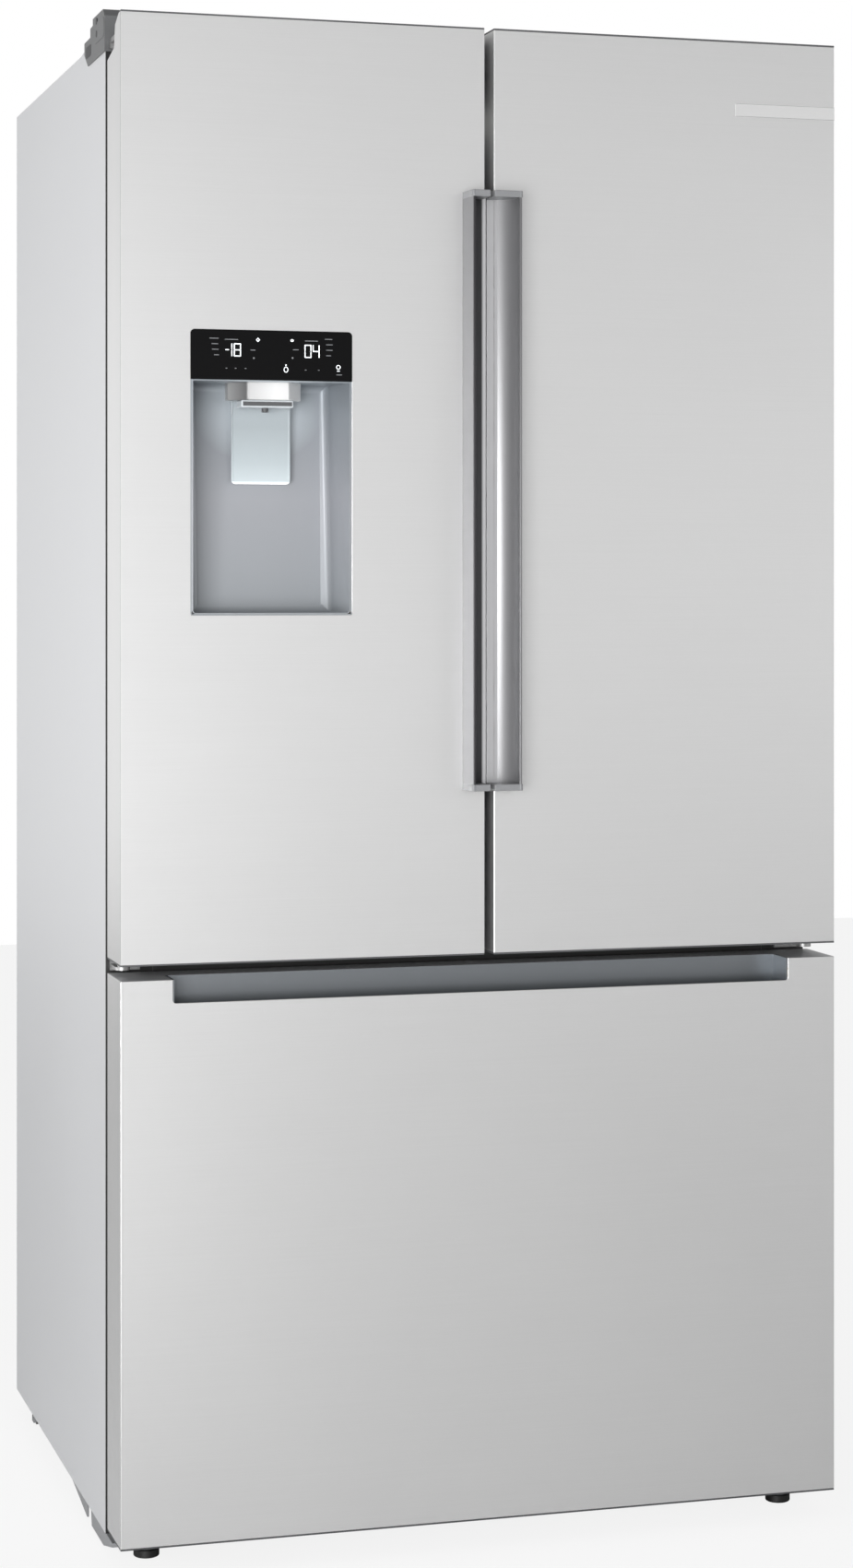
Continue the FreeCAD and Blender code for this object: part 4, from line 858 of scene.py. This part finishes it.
def makeBackScrews():
    # washer heads round the back panel and the machine cover
    low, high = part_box("rear_covers")
    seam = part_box("freezer_liner")[0].z + 212 * mm
    bm = bmesh.new()
    places = []
    for row in range(backScrew["rows"]):
        z = low.z + backScrew["edge"] + (high.z - low.z - 2 * backScrew["edge"]) * row / (backScrew["rows"] - 1)
        places += [(low.x + backScrew["edge"], z), (high.x - backScrew["edge"], z)]
    for column in range(1, backScrew["columns"]):
        x = low.x + (high.x - low.x) * column / backScrew["columns"]
        places += [(x, high.z - backScrew["edge"]), (x, seam + backScrew["edge"] / 2),
                   (x, seam - backScrew["edge"] / 2)]
    for x, z in places:
        addRod(bm, (x, high.y - 1 * mm, z), (x, high.y + 0.8 * mm, z), backScrew["radius"],
               backScrew["radius"] * 0.75, 12)
        addBlock(bm, (x - 2.6 * mm, high.y + 0.7 * mm, z - 0.4 * mm), (x + 2.6 * mm, high.y + 1.0 * mm, z + 0.4 * mm))
    addPiece("backScrews", bm, "cabinet", "screw")


for side in ("left", "right"):
    makeHandleCaps(side)
makeGapCover()
makeDisplay()
makeNiche()
makePlate()
makeNozzle()
makeCoverPads()
makeRims()
makePulls()
makeShelfTrims()
makeBackScrews()
print("pieces made")

camera = {"place": (-1.1195, -3.9909, 1.1623), "turn": -16.09, "lens": 71.87, "shift": -0.1292}


def makeCamera():
    data = bpy.data.cameras.new("camera")
    data.sensor_width = 36
    data.lens = camera["lens"]
    data.shift_y = camera["shift"]
    obj = bpy.data.objects.new("camera", data)
    obj.location = camera["place"]
    obj.rotation_euler = (math.radians(90), 0, math.radians(camera["turn"]))
    bpy.context.scene.collection.objects.link(obj)
    bpy.context.scene.camera = obj


studio = {
    "floor": 6.0, "floorShade": 0.62,
    "sky": [(0.0, 0.3), (0.36, 0.5), (0.46, 0.95), (0.53, 0.95), (0.62, 0.56), (0.8, 0.4), (1.0, 0.36)],
    "sideways": 0.16,
    "lamps": [
        {"name": "frontLamp", "place": (-1.9, -3.4, 0.9), "aim": (-0.1, 0, 0.9), "size": 1.6, "watts": 118},
        {"name": "sideLamp", "place": (-3.2, 0.3, 0.95), "aim": (-0.45, 0, 0.9), "size": 1.2, "watts": 26},
        {"name": "rightLamp", "place": (3.6, -3.0, 1.4), "aim": (0.2, 0, 0.8), "size": 2.2, "watts": 14},
    ],
}


def makeFloor():
    bm = bmesh.new()
    bmesh.ops.create_grid(bm, x_segments=1, y_segments=1, size=studio["floor"])
    mesh = bpy.data.meshes.new("floor")
    bm.to_mesh(mesh)
    bm.free()
    floor = bpy.data.objects.new("floor", mesh)
    bpy.context.scene.collection.objects.link(floor)
    material, tree, shader = newMaterial("floorPale", grey(studio["floorShade"]), 0.6)
    ray = tree.nodes.new("ShaderNodeLightPath")
    white = addNode(tree, "ShaderNodeEmission", {}, {"Color": (1, 1, 1, 1), "Strength": 1.0})
    share = Wire(tree, ray.outputs["Is Camera Ray"]) * 0.86
    mixed = addNode(tree, "ShaderNodeMixShader", {}, {0: share, 1: Wire(tree, shader.outputs[0]), 2: white})
    tree.links.new(mixed.socket, tree.nodes["Material Output"].inputs["Surface"])
    mesh.materials.append(material)


def makeWorld():
    # soft light, brightest at eye level and from the left; white where the camera sees it
    world = bpy.data.worlds.new("studio")
    world.use_nodes = True
    tree = world.node_tree
    ground = tree.nodes["Background"]
    split = tree.nodes.new("ShaderNodeSeparateXYZ")
    feed(tree, split.inputs[0], addNode(tree, "ShaderNodeTexCoord", output=0))
    rise = Wire(tree, split.outputs[2]) * 0.5 + 0.5
    sky = addNode(tree, "ShaderNodeValToRGB",
                  {"stops": [(place, grey(level)) for place, level in studio["sky"]]}, [rise])
    level = addNode(tree, "ShaderNodeRGBToBW", {}, [sky])
    light = level * (1 - Wire(tree, split.outputs[0]) * studio["sideways"])
    ray = tree.nodes.new("ShaderNodeLightPath")
    seen = Wire(tree, ray.outputs["Is Camera Ray"])
    ground.inputs["Color"].default_value = (1, 1, 1, 1)
    feed(tree, ground.inputs["Strength"], light + seen * (1 - light))
    bpy.context.scene.world = world


def makeLamps():
    for lamp in studio["lamps"]:
        data = bpy.data.lights.new(lamp["name"], "AREA")
        data.size = lamp["size"]
        data.energy = lamp["watts"]
        obj = bpy.data.objects.new(lamp["name"], data)
        obj.location = lamp["place"]
        aim = Vector(lamp["aim"]) - Vector(lamp["place"])
        obj.rotation_euler = aim.to_track_quat("-Z", "Y").to_euler()
        bpy.context.scene.collection.objects.link(obj)


makeCamera()
makeFloor()
makeWorld()
makeLamps()
bpy.context.scene.view_settings.view_transform = "Standard"
print("studio set")
